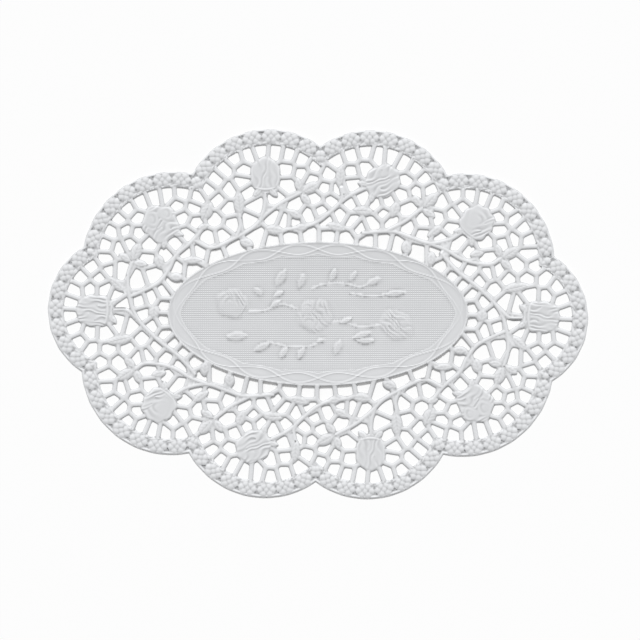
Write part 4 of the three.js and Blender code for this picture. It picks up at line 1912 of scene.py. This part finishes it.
@dataclass
class Sheet:
    """The doily itself: one closed mesh.

    Attributes:
        design: The layout.
        lattice: The fields of holes and bars.
        relief: The pressed relief.
        lie: How the sheet lies.
        name: Name of the piece.
        edge_spacing: Distance between points along an edge.
        edge_row: How far in from an edge the first row of points lies.
        row_share: Share of it that a point of the row keeps to all edges.
        keep_off: Distance that other points keep to the edges.
        deep: Distance to the edges that counts for the medallion.
        least_hole: Holes smaller than this are left out, in square millimetres.
        half_size: Half sizes of the area in which points are set.
        under_spacing: Distance between points of the lower face.
        spacings: Distance between points of the upper face in each zone.
        search: How far past its reach a motif is looked for.
        motif_margin: How far round a motif its spacing holds.
        ground_margin: How far the border's spacing runs into the ground.
        least_bouquet: Rise from which on a place counts as bouquet.
        set_in: How far in the facing and the painted shading of an edge's points are read.
        tilt_reach: How far to each side the sheet's tilt is read.
        merge: Points nearer to each other than this become one.
    """

    design: Design
    lattice: Lattice
    relief: Relief
    lie: Lie
    name: str = "doily_sheet"
    edge_spacing: float = 0.78
    edge_row: float = 0.36
    row_share: float = 0.75
    keep_off: float = 0.58
    deep: float = 9.0
    least_hole: float = 2.0
    half_size: tuple[float, float] = (133.0, 92.0)
    under_spacing: float = 3.0
    spacings: tuple[tuple[Zone, float], ...] = (
        (Zone.BAR, 0.7),
        (Zone.MOTIF, 0.58),
        (Zone.ROSE, 0.48),
        (Zone.BORDER, 0.55),
        (Zone.BOUQUET, 0.72),
        (Zone.GROUND, 1.35),
        (Zone.BAND, 0.55),
    )
    search: float = 1.0
    motif_margin: float = 0.3
    ground_margin: float = 0.6
    least_bouquet: float = 0.02
    set_in: float = 0.12
    tilt_reach: float = 0.5
    merge: float = 1e-7

    def loops(self) -> list[Array]:
        """Gives every edge of the paper.

        Returns:
            Closed loops of x, y rows with the paper to the right, the outer edge first.
        """
        rows = []
        for disc in self.design.discs:
            count = round(disc.radius * disc.sweep / self.edge_spacing)
            angle = disc.start - disc.sweep * np.arange(count) / count
            radius = disc.radius - self.relief.band.edge_wave(disc, np.arange(count) / count)
            rows.append(disc.places(angle, radius))
        return [np.vstack(rows), *self.lattice.hole_edges(self.least_hole, self.edge_spacing)]

    @staticmethod
    def sides(loops: list[Array]) -> Array:
        """Gives the sides of the edges.

        Args:
            loops: The edges.

        Returns:
            Pairs of indices into the points of all edges.
        """
        rows, start = [], 0
        for loop in loops:
            index = np.arange(len(loop))
            rows.append(start + np.stack([index, (index + 1) % len(loop)], 1))
            start += len(loop)
        return np.vstack(rows)

    @staticmethod
    def leftwards(loop: Array) -> Array:
        """Gives the direction away from the paper at each point of an edge."""
        along = np.roll(loop, -1, axis=0) - np.roll(loop, 1, axis=0)
        return unit(np.stack([-along[:, 1], along[:, 0]], 1))

    def depth(self, x: Array, y: Array) -> Array:
        """Gives how far places lie inside the paper."""
        inside = np.where(self.design.outside_medallion(x, y) < 0, self.deep, self.design.inside_edge(x, y))
        return np.minimum(-self.lattice.at(self.lattice.hole, x, y), inside)

    def spread(self, spacing: float) -> Array:
        """Spreads places in offset rows over the whole paper.

        Args:
            spacing: Distance between places.

        Returns:
            An array of x, y rows.
        """
        half_x, half_y = self.half_size
        rows = np.arange(-half_y, half_y, spacing * math.sqrt(3) / 2)
        x, y = np.meshgrid(np.arange(-half_x, half_x, spacing), rows)
        x = x + (np.arange(len(rows)) % 2)[:, None] * spacing / 2
        places = np.stack([x.ravel(), y.ravel()], 1)
        return places[self.depth(*places.T) > self.keep_off]

    def zone(self, x: Array, y: Array) -> Array:
        """Sorts places by what they draw.

        Args:
            x, y: Places.

        Returns:
            A zone for each place.
        """
        found = np.full(x.shape, int(Zone.BAR))
        design = self.design
        for zone, items in ((Zone.MOTIF, [*design.leaves, *design.stems]), (Zone.ROSE, design.roses)):
            for item in items:
                near = item.near(x, y, self.search)
                covered = item.outside(x[near], y[near]) < self.motif_margin
                found[near] = np.where(covered, int(zone), found[near])
        medallion = self.relief.medallion
        inside = -design.outside_medallion(x, y)
        found[inside > 0] = Zone.BORDER
        ground = inside > medallion.ground_start(x, y) + self.ground_margin
        bouquet = medallion.bouquet_height(x[ground], y[ground]) > self.least_bouquet
        found[ground] = np.where(bouquet, int(Zone.BOUQUET), int(Zone.GROUND))
        found[(design.inside_edge(x, y) < design.band_width) & (inside < 0)] = Zone.BAND
        return found

    def inner_points(self, loops: list[Array]) -> Array:
        """Sets the points of the upper face that aren't on an edge.

        Args:
            loops: The edges.

        Returns:
            An array of x, y rows.
        """
        row = np.vstack([loop - self.edge_row * self.leftwards(loop) for loop in loops])
        kept = [row[self.depth(*row.T) > self.row_share * self.edge_row]]
        for zone, spacing in self.spacings:
            places = self.spread(spacing)
            places = places[self.zone(*places.T) == zone]
            kept.append(places)
            log.info("%s: %d points", zone.name.lower(), len(places))
        return np.vstack(kept)

    def triangles(self, edge: Array, sides: Array, inner: Array) -> Array:
        """Fills the paper with triangles.

        Args:
            edge: Places on the edges.
            sides: Pairs of indices of the edges' sides.
            inner: Places inside.

        Returns:
            Rows of three indices into edge and inner, counterclockwise.
        """
        points = np.vstack([edge, inner])
        found = delaunay_2d_cdt([Vector(p) for p in points.tolist()], sides.tolist(), [], 0, self.merge)
        origin = np.array([source[0] if source else -1 for source in found[3]])
        faces = origin[np.array(found[2])]
        a, b, c = (points[faces[:, k]] for k in range(3))
        turned = np.cross(b - a, c - a) < 0
        faces[turned] = faces[turned][:, ::-1]
        return faces[self.connected(faces, sides, points)]

    @staticmethod
    def connected(faces: Array, sides: Array, points: Array) -> Array:
        """Marks the triangles that are reached from the middle without crossing an edge.

        Args:
            faces: The triangles.
            sides: Pairs of indices of the edges' sides.
            points: The points.

        Returns:
            True for each triangle of the paper, and False for those in holes and outside.
        """
        pairs = np.sort(np.stack([faces, np.roll(faces, -1, axis=1)], 2).reshape(-1, 2), axis=1)
        keys = pairs[:, 0] * len(points) + pairs[:, 1]
        fixed = np.sort(sides, axis=1)
        fixed_keys = fixed[:, 0] * len(points) + fixed[:, 1]
        order = np.argsort(keys, kind="stable")
        same = keys[order][1:] == keys[order][:-1]
        first, second = order[:-1][same], order[1:][same]
        free = ~np.isin(keys[first], fixed_keys)
        first, second = first[free], second[free]
        across = np.full(len(faces) * 3, -1)
        across[first], across[second] = second // 3, first // 3
        across = across.reshape(-1, 3)
        middle = points[faces].mean(1)
        reached = np.zeros(len(faces), bool)
        front = np.array([np.argmin(np.hypot(*middle.T))])
        while len(front):
            reached[front] = True
            after = np.unique(across[front])
            after = after[after >= 0]
            front = after[~reached[after]]
        return reached

    def points(self, edge_count: int, top: Array, bottom: Array) -> Array:
        """Lifts the points of both faces to their heights.

        Args:
            edge_count: How many points lie on an edge, the first of each face.
            top: Places of the upper face.
            bottom: Places of the lower face.

        Returns:
            Rows of x, y, z in metres, the upper face first.
        """
        inner = top[edge_count:]
        rise = np.concatenate([np.full(edge_count, self.relief.paper), self.relief.height(*inner.T)])
        top_z, bottom_z = rise + self.lie.height(*top.T), self.lie.height(*bottom.T)
        return np.vstack([np.column_stack([top, top_z]), np.column_stack([bottom, bottom_z])]) * MM

    def facing(self, top: Array, read_at: Array) -> Array:
        """Gives the directions that the places of the upper face face, with the relief read at others."""
        return unit(self.relief.normals(*read_at.T) + tilts(self.lie.height, *top.T, self.tilt_reach, 0.0))

    def mesh(self, points: Array, faces: Array) -> bpy.types.Mesh:
        """Makes a smooth mesh of triangles.

        Args:
            points: Rows of x, y, z.
            faces: Rows of three indices.

        Returns:
            The mesh.
        """
        mesh = bpy.data.meshes.new(self.name)
        mesh.vertices.add(len(points))
        mesh.vertices.foreach_set("co", points.ravel())
        mesh.loops.add(faces.size)
        mesh.loops.foreach_set("vertex_index", faces.ravel())
        mesh.polygons.add(len(faces))
        mesh.polygons.foreach_set("loop_start", np.arange(0, faces.size, 3))
        mesh.polygons.foreach_set("loop_total", np.full(len(faces), 3))
        mesh.polygons.foreach_set("use_smooth", np.ones(len(faces), bool))
        return mesh

    def dress(
        self, mesh: bpy.types.Mesh, materials: list[bpy.types.Material], top: Array, upper: Array
    ) -> None:
        """Gives the faces their finishes: lace paper, linen on the medallion's ground, and the cut edge.

        Args:
            mesh: The mesh.
            materials: The finishes in that order.
            top: Places of the upper face.
            upper: Triangles of the upper face, the first of the mesh.
        """
        for material in materials:
            mesh.materials.append(material)
        middle = top[upper].mean(1)
        ground = -self.design.outside_medallion(*middle.T) > self.relief.medallion.ground_start(*middle.T)
        finish = np.full(len(mesh.polygons), 2)
        finish[: len(upper)] = ground
        mesh.polygons.foreach_set("material_index", finish)

    def painted_shading(self, mesh: bpy.types.Mesh, edge_count: int, top: Array, read_at: Array) -> None:
        """Stores the painted shading of the points of the upper face: how far they stand out of the paper
        round them.

        It darkens creases, dents and cut edges as painted shade and lightens crests as painted highlight.

        Args:
            mesh: The mesh.
            edge_count: How many points, the first of the mesh, lie on an edge.
            top: Places of the upper face.
            read_at: Places at which the relief is read for them.
        """
        inner = top[edge_count:]
        depth = np.concatenate([np.zeros(edge_count), self.depth(*inner.T)])
        values = np.zeros(len(mesh.vertices), np.float32)
        values[: len(top)] = self.relief.painted_shading(*read_at.T, depth)
        mesh.attributes.new(PAINTED_SHADING, "FLOAT", "POINT").data.foreach_set("value", values)

    @staticmethod
    def area(top: Array, upper: Array) -> float:
        """Gives the flat area of the upper face in square metres."""
        a, b, c = (top[upper[:, k]] for k in range(3))
        return float(np.abs(np.cross(b - a, c - a)).sum() / 2) * MM * MM

    def build(self, materials: list[bpy.types.Material]) -> tuple[bpy.types.Object, float]:
        """Makes the sheet's object.

        Args:
            materials: Finishes of the lace, of the medallion's ground and of the cut edge.

        Returns:
            The object and its flat area in square metres.
        """
        loops = self.loops()
        edge, sides = np.vstack(loops), self.sides(loops)
        inner, below = self.inner_points(loops), self.spread(self.under_spacing)
        upper, lower = self.triangles(edge, sides, inner), self.triangles(edge, sides, below)
        log.info("edge %d, inner %d, upper %d, lower %d", len(edge), len(inner), len(upper), len(lower))

        top, bottom = np.vstack([edge, inner]), np.vstack([edge, below])
        first, second = sides.T
        under = len(top)
        wall = np.vstack([
            np.stack([first, second, second + under], 1),
            np.stack([first, second + under, first + under], 1),
        ])
        faces = np.vstack([upper, wall, lower[:, ::-1] + under])
        mesh = self.mesh(self.points(len(edge), top, bottom), faces)

        away = np.vstack([self.leftwards(loop) for loop in loops])
        read_at = np.vstack([edge - self.set_in * away, inner])
        self.dress(mesh, materials, top, upper)
        # Stores the painted shade and painted highlight of the upper face.
        self.painted_shading(mesh, len(edge), top, read_at)
        mesh.update()
        mesh.validate()
        outward = np.column_stack([away, np.zeros(len(away))])
        corners = np.full((len(faces), 3, 3), (0.0, 0.0, -1.0))
        corners[: len(upper)] = self.facing(top, read_at)[upper]
        corners[len(upper) : len(upper) + len(wall)] = outward[wall % under]
        mesh.normals_split_custom_set(corners.reshape(-1, 3))
        return add_object(self.name, mesh), self.area(top, upper)


@dataclass
class Studio:
    """The floor, the light and the camera.

    Attributes:
        floor_half: Half of the floor's side in metres.
        floor_dark: Darker colour of the floor.
        floor_light: Lighter colour of the floor.
        floor_scale: How fine the change between the two is.
        camera_place: Place of the camera in metres.
        lens: Focal length in millimetres.
        sensor: Width of the sensor in millimetres.
        clip_start: Nearest distance that the camera sees, in metres.
        sun_height: Height of the light over the horizon in degrees.
        sun_turn: Direction that the light comes from, in degrees from +X.
        sun_distance: Distance of the light from the doily in metres.
        sun_strength: Strength of the light.
        sun_spread: Angle over which the light is spread, in degrees.
        fill: Strength of the light from all sides.
    """

    floor_half: float = 9.0
    floor_dark: Colour = (0.972, 0.972, 0.972)
    floor_light: Colour = (0.98, 0.98, 0.98)
    floor_scale: float = 12.0
    camera_place: tuple[float, float, float] = (0.00098, -0.003, 1.2)
    lens: float = 137.6
    sensor: float = 36.0
    clip_start: float = 0.01
    sun_height: float = 35.0
    sun_turn: float = 92.0
    sun_distance: float = 2.0
    sun_strength: float = 3.2
    sun_spread: float = 7.0
    fill: float = 0.42

    def floor(self) -> bpy.types.Object:
        """Makes the pale floor.

        Returns:
            The floor.
        """
        size = self.floor_half
        mesh = bpy.data.meshes.new("floor")
        corners = [(-size, -size, 0), (size, -size, 0), (size, size, 0), (-size, size, 0)]
        mesh.from_pydata(corners, [], [(0, 1, 2, 3)])
        material, shader = add_material("floor", 1.0, 0.0)
        tree = material.node_tree
        noise = add_node(tree, "TexNoise", {"Scale": self.floor_scale})
        tone = add_ramp(tree, noise.outputs["Fac"], self.floor_dark, self.floor_light)
        tree.links.new(tone, shader.inputs["Base Color"])
        mesh.materials.append(material)
        floor = add_object("floor", mesh)
        return floor

    def lights(self) -> None:
        """Makes the soft light from behind the doily and the fill."""
        light = bpy.data.lights.new("soft light", "SUN")
        light.energy = self.sun_strength
        light.angle = math.radians(self.sun_spread)
        height, turn = math.radians(self.sun_height), math.radians(self.sun_turn)
        flat = math.cos(height)
        towards = Vector((math.cos(turn) * flat, math.sin(turn) * flat, math.sin(height)))
        lamp = add_object("soft light", light)
        lamp.rotation_euler = towards.to_track_quat("Z", "Y").to_euler()
        lamp.location = towards * self.sun_distance
        world = bpy.data.worlds.new("fill")
        world.use_nodes = True
        background = world.node_tree.nodes["Background"]
        background.inputs["Color"].default_value = (1, 1, 1, 1)
        background.inputs["Strength"].default_value = self.fill
        bpy.context.scene.world = world

    def camera(self) -> None:
        """Makes the camera, which looks straight down."""
        data = bpy.data.cameras.new("camera")
        data.type = "PERSP"
        data.lens = self.lens
        data.sensor_width = self.sensor
        data.clip_start = self.clip_start
        camera = add_object("camera", data)
        camera.location = self.camera_place
        bpy.context.scene.camera = camera


def main() -> None:
    """Builds the scene piece by piece."""
    logging.basicConfig(level=logging.INFO, format="%(message)s")
    bpy.context.scene.view_settings.view_transform = "Standard"
    studio = Studio()
    studio.camera()
    studio.lights()
    floor = studio.floor()

    design = Design()
    net = Net(design)
    lattice = Lattice(design, net)
    motifs = Motifs(design.stem_width)
    relief = Relief(design, lattice, motifs, Band(design), Medallion(design, motifs))
    fibre = PaperFibreAndShading().build()
    finishes = [
        Paper("lace paper", (0.70, 0.708, 0.722), (0.672, 0.68, 0.694)).build(fibre),
        Paper("linen paper", (0.706, 0.714, 0.728), (0.678, 0.686, 0.7), linen=True).build(fibre),
        Paper("cut edge", (0.66, 0.668, 0.68), (0.62, 0.628, 0.64), fibre_depth=0.00003).build(fibre),
    ]
    sheet, area = Sheet(design, lattice, relief, Lie(design)).build(finishes)
    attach(sheet, "root")
    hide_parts("doily")
    log.info("doily sheet: %d seeds, %d triangles, %.5f m2", len(net.seeds), len(sheet.data.polygons), area)


if __name__ == "__main__":
    main()
